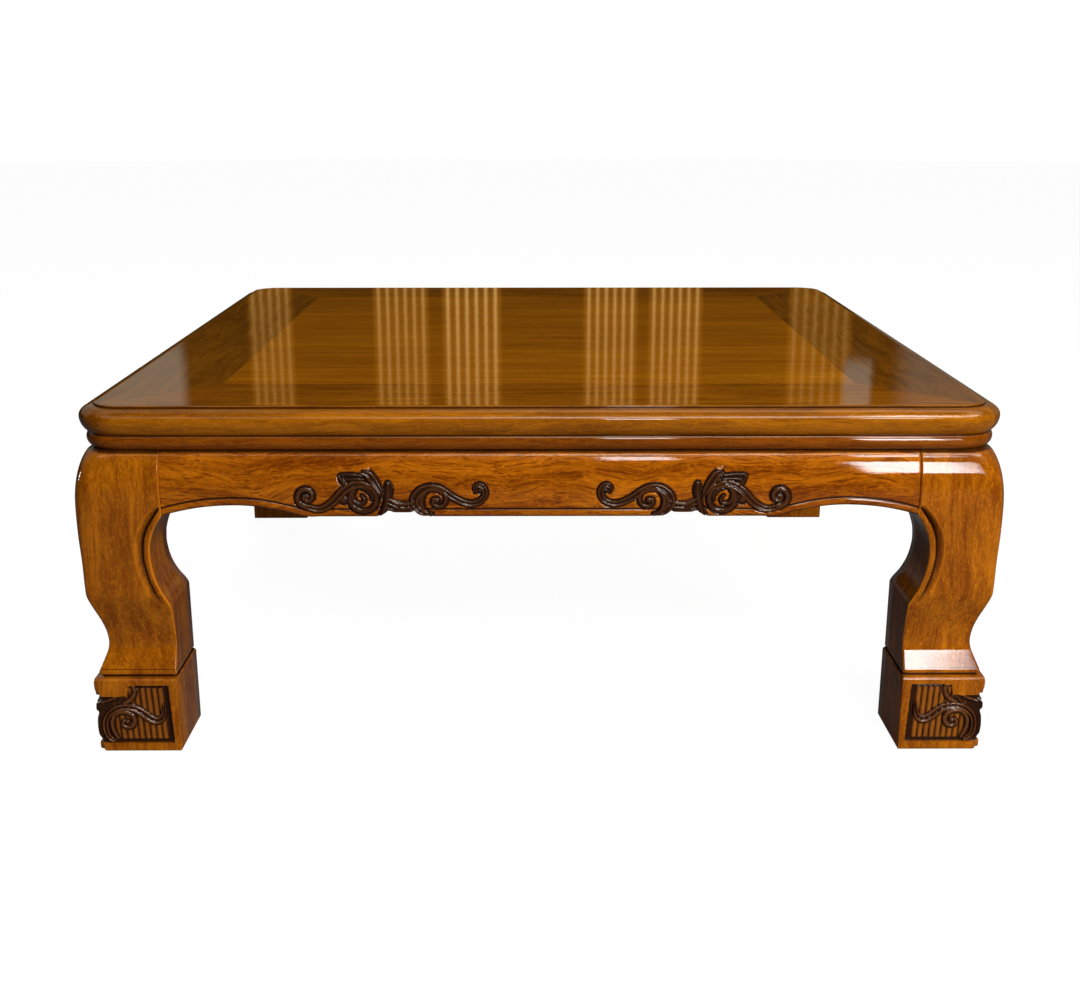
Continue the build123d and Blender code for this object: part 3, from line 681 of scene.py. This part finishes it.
def leg_rings(leg, sides):
    """A leg over its neck groove, as horizontal loops with their painted shade. Each outer face runs from a
    rounded corner of radius R(z) over the flat, the slope down to the groove and the half-ellipse bead to
    the inner edge; the other face mirrors it at the corner. Insets a and b from the two setting-out lines
    give x = +-(REACH - a), y = +-(REACH - b). The stain layer here is painted shade: it darkens the groove,
    the neck and the rebate under the roll; the ridge layer paints highlights along the edge of the flat
    and the inner edge."""
    z = np.concatenate((np.arange(75, 84, 0.5), shoulder_heights(84, 26, 262, 1.35)))
    up = z[:, None]
    deep, shade = rebate(up)
    face = bow(up) + deep
    inner, groove, depth, corner, end_q = (through(knots, up) for knots in LEG_CURVES)
    groove = np.minimum(groove, inner - 1.6)
    beaded = smooth(146, 158, up) * (1 - smooth(243, 247, up))
    meet = smooth(235, 238, up) * (1 - smooth(246, 249, up))
    turn = np.radians(np.linspace(45, 0, 8))
    arc_a = face + corner * (1 - np.sin(turn))
    arc_b = face + corner * (1 - np.cos(turn))
    flat_end = groove - leg.face_chamfer * smooth(0, 1.2, depth) - 0.05
    flat_a = face + corner + (flat_end - face - corner) * np.append(np.linspace(0, 0.965, 13)[1:], 1)
    flat_b = np.repeat(face, 13, axis=1)
    slope_a = flat_end + (groove - flat_end) * np.array([0.12, 0.4, 0.7, 0.9, 1])
    slope_b = face + depth * np.array([0.06, 0.34, 0.68, 0.92, 1])
    s = np.linspace(0, 1, 12)[1:]
    q = 1 + s * (end_q - 1)
    side = np.where(q > 0, depth, 3.0)
    bead = 0.8 + (side - 0.8) * (1 - np.sqrt(1 - q**2)) + 1.5 * meet * smooth(0.2, 1, s)
    plain = np.where(up > 240, 2.0, 1.2) * (1 - np.sqrt(1 - s**2))
    bead_a = groove + (inner - groove) * s
    bead_b = face + beaded * bead + (1 - beaded) * (plain + depth * (1 - s))
    inside_a = np.repeat(inner, 5, axis=1)
    inside_b = bead_b[:, -1:] + (inner - 1.5 - bead_b[:, -1:]) * np.array([0.02, 0.25, 0.5, 0.75, 1])
    a = np.hstack((arc_a, flat_a, slope_a, bead_a, inside_a))
    b = np.hstack((arc_b, flat_b, slope_b, bead_b, inside_b))
    cut = np.minimum(1, depth / 2.2)
    before, after = arc_a.shape[1] + flat_a.shape[1], inside_a.shape[1]
    # Painted shade in the groove beside the bead, darker where the groove is deeper.
    dark = np.hstack((
        np.zeros((len(z), before)), cut * np.array([0.04, 0.22, 0.5, 0.8, 1]),
        cut * 0.95 * (1 - smooth(0, 0.3, s)), np.zeros((len(z), after)),
    ))
    # Painted highlights along the edge of the flat and along the inner edge.
    ridge = np.zeros(dark.shape)
    ridge[:, before - 1 : before + 1] = smooth(0.6, 2.4, depth) * np.array([0.3, 0.1])
    ridge[:, -after - 3 : -after] = np.array([0.2, 0.6, 1])
    # Painted shade in the neck groove and the line above it, and under the roll.
    neck = np.maximum(0.85 * (1 - smooth(77.2, 78.2, up)), 0.6 * (1 - smooth(0.2, 0.9, np.abs(up - 82.6))))
    dark = np.maximum(dark, np.maximum(neck, shade))
    return corner_loops(a, b, z, sides), both_faces(dark), both_faces(ridge)


def both_faces(layer):
    """A layer of the half loop, carried on over the other outer face."""
    return np.hstack((layer[:, ::-1], layer[:, 1:]))


def corner_loops(a, b, z, sides):
    """Closed loops round a leg from the half loop (a, b), which runs from the corner's middle over one
    outer face to the inner corner: the other half is the same with a and b exchanged."""
    insets_x = np.hstack((b[:, ::-1], a[:, 1:]))
    insets_y = np.hstack((a[:, ::-1], b[:, 1:]))
    height = np.broadcast_to(z[:, None], insets_x.shape)
    return np.stack((sides[0] * (REACH - insets_x), sides[1] * (REACH - insets_y), height), axis=-1)


def foot_rings(leg, sides):
    """A foot block as horizontal loops, with its stain and ridges: the sunk ground is stained dark, most
    between the reeds as painted shade, and the ridges mark the carving's high parts and light the reed
    crests as painted highlight. The carved ground lies at depth g within its margins and rises to the
    corner's own outline R(z); upright reeds stand on it as g - rise sqrt(1 - w^2), w being the share of
    half a pitch, and the scrolls are raised over both."""
    z = np.concatenate(([0, 0.5], np.arange(1.2, 73, 0.52), [73.2, 74.0, 74.6, 74.9, leg.foot_top]))
    up = z[:, None]
    edges = [(0, 0.9), (0.5, 0.3), (1.2, 0), (72.5, 0), (73.6, 0.35), (74.4, 1.0), (75, 2.2)]
    wear_and_edge_highlight = [
        (0, 4.6), (3, 3.6), (7, 3.4), (10, 3.8), (13, 2.8), (18, 1.2), (26, 0.8), (34, 1.2), (40, 2.4),
        (44, 0.8), (49, 1), (53, 4.8), (55, 5.6), (57, 4.4), (60, 2.2), (65, 0.8), (70, 0.6), (75, 1.2),
    ]
    face = -leg.foot_bulge + through(edges, up)
    corner = through(wear_and_edge_highlight, up)
    width = leg.foot_inset + leg.foot_bulge
    u = np.concatenate((np.arange(0, width - 1, 0.52), [width - 1, width - 0.5, width - 0.1]))
    a = face + u + corner * np.maximum(0, 1 - u / 10) ** 2
    up = np.repeat(up, len(u), axis=1)
    slant = FIELD_LEAN * (up - 7.6)
    field = (1 - smooth(-0.4, 0.6, a - (71.7 - slant))) * smooth(7.4, 8.6, up) * (1 - smooth(67, 68.2, up))
    plain = smooth(0, 1.4, up - 55.5 - 0.004 * (a - 12) ** 2)
    field = field * (1 - plain * (1 - smooth(29.4, 30.8, a - 0.25 * (up - 62))))
    lean = a + slant
    w = 2 * np.mod((lean - 15.2) / leg.reed_pitch, 1) - 1
    reeded = smooth(11, 12.5, up) * (1 - smooth(64, 65.6, up)) * smooth(10, 20, a)
    reeded = reeded * (1 - smooth(66.2, 67.2, lean))
    reeds = REED_RISE * np.sqrt(np.clip(1 - w**2, 0, 1)) * reeded
    ground = leg.ground - (leg.ground - np.maximum(corner, 1.2)) * (1 - smooth(-1, 7, a))
    height, stain, ridge = carve(a, up, foot_strokes(), 1.15)
    rise = np.maximum(reeds, (leg.ground - 0.2) * height)
    depth = np.clip(field * ground - rise * smooth(0, 0.4, field), 0, None)
    near_corner = smooth(0, 5, u)
    b = face + (depth * near_corner + corner * (1 - near_corner))
    b[:, 0] = a[:, 0]
    rounded = np.clip((u - width + 1) / 0.9, 0, 1)
    b = b + 0.9 * (1 - np.sqrt(np.clip(1 - rounded**2, 0, 1)))
    inner = leg.foot_inset - through([(0, 0.8), (1, 0), (73, 0), (75, 1.5)], z[:, None])
    a = np.hstack((np.minimum(a, inner), np.repeat(inner, 4, axis=1)))
    b = np.hstack((b, b[:, -1:] + (inner - 1.0 - b[:, -1:]) * np.linspace(0, 1, 5)[1:]))
    # Stained ground, darker between the reeds than on their crests as painted shade; the crests and carving
    # ridges get lighter as painted highlight and rubbing.
    dark = np.maximum(field * (0.85 - 0.36 * reeds / REED_RISE), 0.85 * stain * field)
    bright = np.maximum(ridge, 0.85 * reeds / REED_RISE * (1 - stain)) * smooth(0, 0.5, field)
    dark, bright = (both_faces(np.pad(np.clip(layer, 0, 1), [(0, 0), (0, 4)])) for layer in (dark, bright))
    return corner_loops(a, b, z, sides), dark, bright


# ---------------------------------------------------------------- materials
def add_node(tree, kind, sockets=(), **settings):
    """A shader node with its settings and inputs: an input given as a socket is linked, else set."""
    node = tree.nodes.new("ShaderNode" + kind)
    for key, value in settings.items():
        setattr(node, key, value)
    for key, value in dict(sockets).items():
        if isinstance(value, bpy.types.NodeSocket):
            tree.links.new(value, node.inputs[key])
        else:
            node.inputs[key].default_value = value
    return node


def ramp(tree, value, low, high, bottom=0.0, top=1.0):
    """Value stretched so that low..high becomes bottom..top, with soft ends."""
    return add_node(
        tree, "MapRange",
        {"Value": value, "From Min": low, "From Max": high, "To Min": bottom, "To Max": top},
        interpolation_type="SMOOTHSTEP",
    ).outputs["Result"]


def maths(tree, operation, *values):
    """Cosine, greater of two and the like of sockets or numbers."""
    return add_node(tree, "Math", dict(enumerate(values)), operation=operation).outputs[0]


def plus(tree, first, *others):
    """Sum of sockets or numbers."""
    for other in others:
        first = maths(tree, "ADD", first, other)
    return first


def times(tree, first, *others):
    """Product of sockets or numbers."""
    for other in others:
        first = maths(tree, "MULTIPLY", first, other)
    return first


def between(tree, value, low, high, soft):
    """1 where the value is between low and high, 0 outside, with soft ends."""
    rise = ramp(tree, value, low - soft, low + soft)
    return times(tree, rise, ramp(tree, value, high - soft, high + soft, 1.0, 0.0))


def blend(tree, factor, first, second):
    """Colour between first and second by factor; each is a socket or red, green and blue."""
    node = tree.nodes.new("ShaderNodeMix")
    node.data_type = "RGBA"
    for index, value in ((0, factor), (6, first), (7, second)):
        if isinstance(value, bpy.types.NodeSocket):
            tree.links.new(value, node.inputs[index])
        else:
            node.inputs[index].default_value = value if index == 0 else (*value, 1)
    return node.outputs[2]


def noise(tree, kind, vector, along, seed):
    """Outputs of one noise of the wood, stretched along the grain and moved by the seed."""
    lengthwise, crosswise, detail, roughness, shift = NOISES[kind]
    scale = [crosswise] * 3
    scale["XYZ".index(along)] = lengthwise
    start = (seed + shift, 1.7 * seed - shift, 0.6 * seed + 2 * shift)
    mapped = add_node(tree, "Mapping", {"Vector": vector, "Location": start, "Scale": scale})
    sockets = {"Vector": mapped.outputs[0], "Scale": 1.0, "Detail": detail, "Roughness": roughness}
    return add_node(tree, "TexNoise", sockets).outputs


def swayed(tree, place, along, seed, waves):
    """Place that the drift noise shifts across the grain by waves of a few millimetres."""
    middle = {0: noise(tree, "drift", place, along, seed)["Color"], 1: (0.5, 0.5, 0.5)}
    drift = add_node(tree, "VectorMath", middle, operation="SUBTRACT").outputs[0]
    sway = [8 * waves] * 3
    sway["XYZ".index(along)] = 0
    drift = add_node(tree, "VectorMath", {0: drift, 1: sway}, operation="MULTIPLY").outputs[0]
    return add_node(tree, "VectorMath", {0: place, 1: drift}, operation="ADD").outputs[0]


def stained_and_shaded(tree, base, light, spots):
    """Wood colour darkened by the stain layer, which holds the carving's stain and painted shade in
    grooves, folds, the neck and under the roll. The ridge layer lightens the stain again, as rubbing and
    painted highlight, and where there is none it lightens the wood as a painted edge highlight."""
    finish = bpy.context.scene.kang_finish
    stain = add_node(tree, "Attribute", attribute_name="carve_stain").outputs["Fac"]
    ridge = add_node(tree, "Attribute", attribute_name="carve_ridge").outputs["Fac"]
    # Rubbing and painted highlight on ridges and reed crests.
    rubbing_and_highlight = times(tree, ramp(tree, ridge, 0.45, 1.0), ramp(tree, spots, 0.3, 0.6, 0.55, 1.0))
    cover = ramp(tree, stain, 0.0, 0.9)
    # Painted edge highlight where the ridge layer has no stain under it.
    wear_and_edge_highlight = times(tree, ridge, maths(tree, "SUBTRACT", 1.0, cover))
    base = blend(tree, wear_and_edge_highlight, base, [min(1.0, 1.5 * part) for part in light])
    return blend(tree, cover, base, blend(tree, rubbing_and_highlight, finish.carving, finish.ridge))


def wood(name, light, dark, along, seed, dashes=0.5, flecks=0.2, patches=0.1, waves=0.004, peel=0.12,
         blur=0.42, lacquered=True):
    """Lacquered wood. All noises are stretched along the grain: a broad tone and, in swayed space, soft
    patches and streaks, short pores, light flecks, and dark dashes where a finer noise passes a
    threshold. A faint ripple and the share peel of the pores turn the clear coat's normal."""
    finish = bpy.context.scene.kang_finish
    material = bpy.data.materials.new(name)
    material.use_nodes = True
    tree = material.node_tree
    shader = tree.nodes["Principled BSDF"]
    place = add_node(tree, "TexCoord").outputs["Object"]
    moved = swayed(tree, place, along, seed, waves)
    broad = noise(tree, "broad", place, along, seed)["Fac"]
    patchy, streaks, strokes, fibres, spots = (
        noise(tree, kind, moved, along, seed)["Fac"]
        for kind in ("patches", "streaks", "dashes", "fibres", "spots")
    )
    tone = plus(
        tree,
        ramp(tree, streaks, 0.3, 0.7, 0.1, 0.7),
        ramp(tree, broad, 0.3, 0.7, -0.15, 0.2),
        ramp(tree, patchy, 0.3, 0.7, -patches, patches),
        ramp(tree, fibres, 0.3, 0.7, -0.14, 0.14),
        ramp(tree, spots, 0.48, 0.68, -0.3 * flecks, flecks),
    )
    deep = (dark[0] * 0.62, dark[1] * 0.5, dark[2] * 0.5)
    base = blend(tree, ramp(tree, strokes, 0.52, 0.64, 0.0, dashes), blend(tree, tone, dark, light), deep)
    tree.links.new(stained_and_shaded(tree, base, light, spots), shader.inputs["Base Color"])
    tree.links.new(ramp(tree, fibres, 0.2, 0.8, blur + 0.06, blur - 0.06), shader.inputs["Roughness"])
    shader.inputs["Specular IOR Level"].default_value = 0.0 if lacquered else 0.3
    pores = plus(tree, times(tree, fibres, 0.5), times(tree, strokes, 0.25))
    bump = {"Strength": 0.12 if lacquered else 0.35, "Distance": 0.0006, "Height": pores}
    tree.links.new(add_node(tree, "Bump", bump).outputs[0], shader.inputs["Normal"])
    if lacquered:
        shader.inputs["Coat Weight"].default_value = finish.lacquer
        shader.inputs["Coat IOR"].default_value = 1.32
        shader.inputs["Coat Roughness"].default_value = finish.lacquer_blur
        ripple = plus(tree, noise(tree, "ripple", place, along, seed)["Fac"], times(tree, fibres, peel))
        film = {"Strength": 1.0, "Distance": 0.00006, "Height": ripple}
        tree.links.new(add_node(tree, "Bump", film).outputs[0], shader.inputs["Coat Normal"])
    return material


# ---------------------------------------------------------------- operators
class KANG_OT_stage(bpy.types.Operator):
    """Pale floor, white backdrop, soft lights and camera"""

    bl_idname = "kang.stage"
    bl_label = "Stage"

    def execute(self, context):
        stage = context.scene.kang_stage
        self.make_floor(stage)
        self.make_world(stage)
        for name, place, size, shows in SOFTBOXES:
            watts = stage.window + stage.edge if name == "matt" else getattr(stage, name)
            self.make_light(f"{name}_softbox", place, size, watts, shows)
        camera = bpy.data.objects.new("camera", bpy.data.cameras.new("camera"))
        context.scene.collection.objects.link(camera)
        camera.data.sensor_width = 36
        camera.data.lens = stage.focal_length
        camera.data.clip_start = 0.05
        camera.location = stage.camera_place
        camera.rotation_euler = (stage.camera_tilt, 0, stage.camera_turn)
        context.scene.camera = camera
        context.scene.view_settings.view_transform = "Standard"
        return {"FINISHED"}

    def make_floor(self, stage):
        """A round pale floor: rings of radius r times (cos a, sin a)."""
        a = np.linspace(0, 2 * pi, 65)[:-1]
        radius = np.array([0.6, 2, 6, 14])[:, None]
        flat = np.stack((radius * np.cos(a), radius * np.sin(a), np.full((4, 64), -0.0003)), axis=-1)
        mesh = bpy.data.meshes.new("floor")
        mesh.from_pydata(flat.reshape(-1, 3).tolist(), [], tube(flat)[:-2] + [list(range(64))])
        floor = bpy.data.objects.new("floor", mesh)
        bpy.context.scene.collection.objects.link(floor)
        material = bpy.data.materials.new("pale_floor")
        material.use_nodes = True
        tree = material.node_tree
        tree.nodes.remove(tree.nodes["Principled BSDF"])
        seen = add_node(tree, "LightPath").outputs
        shown = maths(tree, "MAXIMUM", seen["Is Camera Ray"], seen["Is Transmission Ray"])
        shown = maths(tree, "MAXIMUM", shown, times(tree, seen["Is Glossy Ray"], 0.02))
        lit = add_node(tree, "BsdfDiffuse", {"Color": (*stage.floor, 1)})
        glow = add_node(tree, "Emission", {"Color": (*stage.backdrop, 1), "Strength": stage.glow})
        both = add_node(tree, "AddShader", {0: lit.outputs[0], 1: glow.outputs[0]})
        mixed = add_node(tree, "MixShader", {0: shown, 1: lit.outputs[0], 2: both.outputs[0]})
        tree.links.new(mixed.outputs[0], tree.nodes["Material Output"].inputs["Surface"])
        mesh.materials.append(material)

    def make_world(self, stage):
        """White for the camera and through glass. In gloss it is a dim room with warm drapes, whose folds
        are the crests of a cosine of the bearing x / y within each drape's edges. A pale wall stands at
        the left and a pale screen at the right. In front the upper wall is lit and a bright cove runs
        above it, both fainter at the left. For all other rays it is an even dim light."""
        world = bpy.data.worlds.new("studio")
        bpy.context.scene.world = world
        world.use_nodes = True
        tree = world.node_tree
        background = tree.nodes["Background"]
        seen = add_node(tree, "LightPath").outputs
        clear = maths(tree, "MAXIMUM", seen["Is Camera Ray"], seen["Is Transmission Ray"])
        toward = add_node(tree, "SeparateXYZ", {0: add_node(tree, "TexCoord").outputs["Generated"]}).outputs
        across, depth, rise = toward["X"], toward["Y"], toward["Z"]
        behind = ramp(tree, depth, 0.1, 0.3)
        bearing = maths(tree, "DIVIDE", across, maths(tree, "MAXIMUM", depth, 0.05))
        room = blend(tree, ramp(tree, rise, 0.12, 0.9), stage.room, [0.4 * part for part in stage.room])
        for first, pitch, count, strength in DRAPES:
            left, right = first - 0.6 * pitch, first + (count - 0.4) * pitch
            inside = times(tree, between(tree, bearing, left, right, 0.001), behind)
            turn = times(tree, maths(tree, "SUBTRACT", bearing, first), 2 * pi / pitch)
            fold = ramp(tree, maths(tree, "COSINE", turn), 0.0, 1.0, 0.0, strength)
            room = blend(tree, inside, room, blend(tree, fold, stage.drape, stage.fold))
        wall = times(tree, ramp(tree, bearing, -0.262, -0.252, 1.0, 0.0), ramp(tree, rise, 0.15, 0.175))
        screen = times(tree, between(tree, bearing, 0.23, 0.25, 0.002), ramp(tree, rise, 0.172, 0.182))
        far = ramp(tree, bearing, 0.262, 0.285, 0.0, 0.5)
        pale = times(tree, plus(tree, wall, screen, far), behind)
        room = blend(tree, pale, room, stage.pale_wall)
        front = ramp(tree, depth, -0.1, 0.0, 1.0, 0.0)
        lit_part = ramp(tree, across, -0.18, 0.08, 0.15, 1.0)
        glare = times(tree, front, lit_part, ramp(tree, rise, 0.45, 0.6))
        room = blend(tree, glare, room, stage.upper_wall)
        ahead = times(tree, lit_part, ramp(tree, front, 0.0, 1.0, 0.15, 1.0))
        cove = times(tree, between(tree, rise, 0.72, 0.90, 0.02), ahead)
        room = blend(tree, cove, room, (stage.ceiling, 0.88 * stage.ceiling, 0.7 * stage.ceiling))
        around = blend(tree, seen["Is Glossy Ray"], (stage.ambient,) * 3, room)
        tree.links.new(blend(tree, clear, around, stage.backdrop), background.inputs["Color"])
        background.inputs["Strength"].default_value = 1.0

    def make_light(self, name, place, size, watts, shows):
        """A rectangular soft light that faces the table; it shows in the gloss or only gives light."""
        lamp = bpy.data.lights.new(name, "AREA")
        lamp.shape = "RECTANGLE"
        lamp.size, lamp.size_y = size
        lamp.energy = watts
        light = bpy.data.objects.new(name, lamp)
        bpy.context.scene.collection.objects.link(light)
        light.location = place
        light.visible_glossy = shows
        light.visible_camera = False
        light.rotation_euler = (Vector((0, 0, 0.2)) - light.location).to_track_quat("-Z", "Y").to_euler()


class KANG_OT_frame(bpy.types.Operator):
    """Four mitred members of the top frame"""

    bl_idname = "kang.frame"
    bl_label = "Top frame"

    def execute(self, context):
        top, finish = in_mm(context.scene.kang_top), context.scene.kang_finish
        profile = frame_profile(top)
        rings = mitred(profile, top.corner_radius)
        # Painted shade in the fold between the rolls and on the riser of the field's small step.
        riser = np.abs(profile[:, 0] - top.field_inset + 0.2) < 0.6
        stain = fold_painted_shade(rings) + 0.7 * riser * (rings[..., 2] < TOP - 0.5)
        tones = (finish.top_light, finish.top_dark), (finish.side_light, finish.side_dark)
        for turn, side in enumerate(SIDES):
            grain = wood(f"frame_{side}_wood", *tones[turn % 2], "XY"[turn % 2], seed=3.0 + turn, dashes=0.3)
            add_piece(
                f"frame_member_{side}", [f"top_frame_{side}"], "top_frame_wood", grain,
                [turned(rings, turn)], carve_stain=[stain],
            )
        return {"FINISHED"}


class KANG_OT_rolls(bpy.types.Operator):
    """Four mitred strips with the small roll"""

    bl_idname = "kang.rolls"
    bl_label = "Roll mouldings"

    def execute(self, context):
        top, finish = in_mm(context.scene.kang_top), context.scene.kang_finish
        rings = mitred(roll_profile(top), top.corner_radius)
        tones = finish.roll_light, finish.roll_dark
        for turn, side in enumerate(SIDES):
            grain = wood(f"roll_{side}_wood", *tones, "XY"[turn % 2], seed=11.0 + turn)
            add_piece(
                f"small_roll_{side}", [f"roll_moulding_{side}"], "moulding_wood", grain,
                [turned(rings, turn)], carve_stain=[fold_painted_shade(rings)],
            )
        return {"FINISHED"}


class KANG_OT_panel(bpy.types.Operator):
    """Three boards of the floating panel"""

    bl_idname = "kang.panel"
    bl_label = "Panel boards"

    def execute(self, context):
        top, finish = in_mm(context.scene.kang_top), context.scene.kang_finish
        half = REACH - FRAME_WIDTH - PANEL_GAP
        edges = np.linspace(-half, half, BOARD_COUNT + 1)
        for index in range(BOARD_COUNT):
            grain = wood(
                f"board_{index + 1}_wood", finish.panel_light, finish.panel_dark, "X", seed=21.0 + 2 * index,
                dashes=0.22, flecks=0.12, waves=0.002,
            )
            near, far = edges[index] + BOARD_GAP / 2, edges[index + 1] - BOARD_GAP / 2
            add_piece(
                f"board_{index + 1}", [f"panel_board_{index + 1}"], "panel_wood", grain,
                [board(half, near, far, top.arris)], crease=30,
            )
        return {"FINISHED"}


class KANG_OT_aprons(bpy.types.Operator):
    """Four carved aprons with a beaded lower edge"""

    bl_idname = "kang.aprons"
    bl_label = "Aprons"

    def execute(self, context):
        finish = context.scene.kang_finish
        rings, stain, ridge = apron_rings(in_mm(context.scene.kang_apron))
        for turn, side in enumerate(SIDES):
            grain = wood(
                f"apron_{side}_wood", finish.apron_light, finish.apron_dark, "XY"[turn % 2],
                seed=31.0 + turn, dashes=0.75, waves=0.006, peel=0.3,
            )
            add_piece(
                f"carved_apron_{side}", [f"apron_{side}"], "apron_wood", grain, [turned(rings, turn)],
                crease=60, carve_stain=[stain], carve_ridge=[ridge],
            )
        return {"FINISHED"}


class KANG_OT_legs(bpy.types.Operator):
    """Four cabriole legs on carved block feet"""

    bl_idname = "kang.legs"
    bl_label = "Legs"

    def execute(self, context):
        leg, finish = in_mm(context.scene.kang_leg), context.scene.kang_finish
        for index, (corner, sides) in enumerate(CORNERS.items()):
            shells, stains_and_shades, ridges = zip(leg_rings(leg, sides), foot_rings(leg, sides))
            grain = wood(
                f"leg_{corner}_wood", finish.leg_light, finish.leg_dark, "Z", seed=41.0 + index,
                dashes=0.4, flecks=0.32, patches=0.3, peel=0.45,
            )
            add_piece(
                f"cabriole_leg_{corner}", [f"leg_{corner}"], "leg_wood", grain, shells,
                crease=50, carve_stain=stains_and_shades, carve_ridge=ridges,
            )
        return {"FINISHED"}


class KANG_OT_underside(bpy.types.Operator):
    """Finish of the battens and pegs under the top"""

    bl_idname = "kang.underside"
    bl_label = "Battens and pegs"

    def execute(self, context):
        finish = context.scene.kang_finish
        tones = finish.under_light, finish.under_dark
        battens = wood("batten_wood", *tones, "Y", seed=51.0, blur=0.6, lacquered=False)
        pegs = wood("peg_wood", *tones, "Z", seed=53.0, blur=0.6, lacquered=False)
        for name, node in frame["nodes"].items():
            if name.startswith("batten_") or name == "frame_corner_pegs":
                node.data.materials.clear()
                node.data.materials.append(battens if name.startswith("batten_") else pegs)
        return {"FINISHED"}


class KANG_OT_window(bpy.types.Operator):
    """Window, edge and left lights shine on the legs, aprons and small rolls; the top gets a matt light"""

    bl_idname = "kang.window"
    bl_label = "Window lights"

    def execute(self, context):
        for title, starts, lights in (
            ("upright_pieces", ("cabriole_leg", "carved_apron", "small_roll"),
             ("window_softbox", "edge_softbox", "left_softbox")),
            ("top_pieces", ("frame_member", "board_"), ("matt_softbox",)),
        ):
            pieces = bpy.data.collections.new(title)
            for piece in context.scene.objects:
                if piece.name.startswith(starts):
                    pieces.objects.link(piece)
            for name in lights:
                bpy.data.objects[name].light_linking.receiver_collection = pieces
        return {"FINISHED"}


class KANG_PT_panel(bpy.types.Panel):
    """Sizes, finish and pieces of the kang table"""

    bl_idname = "KANG_PT_panel"
    bl_label = "Kang table"
    bl_space_type = "VIEW_3D"
    bl_region_type = "UI"
    bl_category = "Kang table"

    def draw(self, context):
        for title, group in GROUPS.items():
            box = self.layout.box()
            box.label(text=group.__doc__)
            for key in group.__annotations__:
                box.prop(getattr(context.scene, title), key)
        for operator in OPERATORS:
            self.layout.operator(operator.bl_idname)


GROUPS = {
    "kang_top": TopSizes,
    "kang_apron": ApronSizes,
    "kang_leg": LegSizes,
    "kang_finish": Finish,
    "kang_stage": StageSettings,
}
OPERATORS = (
    KANG_OT_stage, KANG_OT_frame, KANG_OT_rolls, KANG_OT_panel, KANG_OT_aprons, KANG_OT_legs,
    KANG_OT_underside, KANG_OT_window,
)
CLASSES = (*GROUPS.values(), *OPERATORS, KANG_PT_panel)


def register():
    """Registers the classes and puts the property groups on the scene."""
    for one in CLASSES:
        bpy.utils.register_class(one)
    for title, group in GROUPS.items():
        setattr(bpy.types.Scene, title, PointerProperty(type=group))


def unregister():
    """Undoes register."""
    for title in GROUPS:
        delattr(bpy.types.Scene, title)
    for one in reversed(CLASSES):
        bpy.utils.unregister_class(one)


def main():
    register()
    bpy.ops.kang.stage()
    bpy.ops.kang.frame()
    bpy.ops.kang.rolls()
    bpy.ops.kang.panel()
    bpy.ops.kang.aprons()
    bpy.ops.kang.legs()
    bpy.ops.kang.underside()
    bpy.ops.kang.window()


if __name__ == "__main__":
    main()
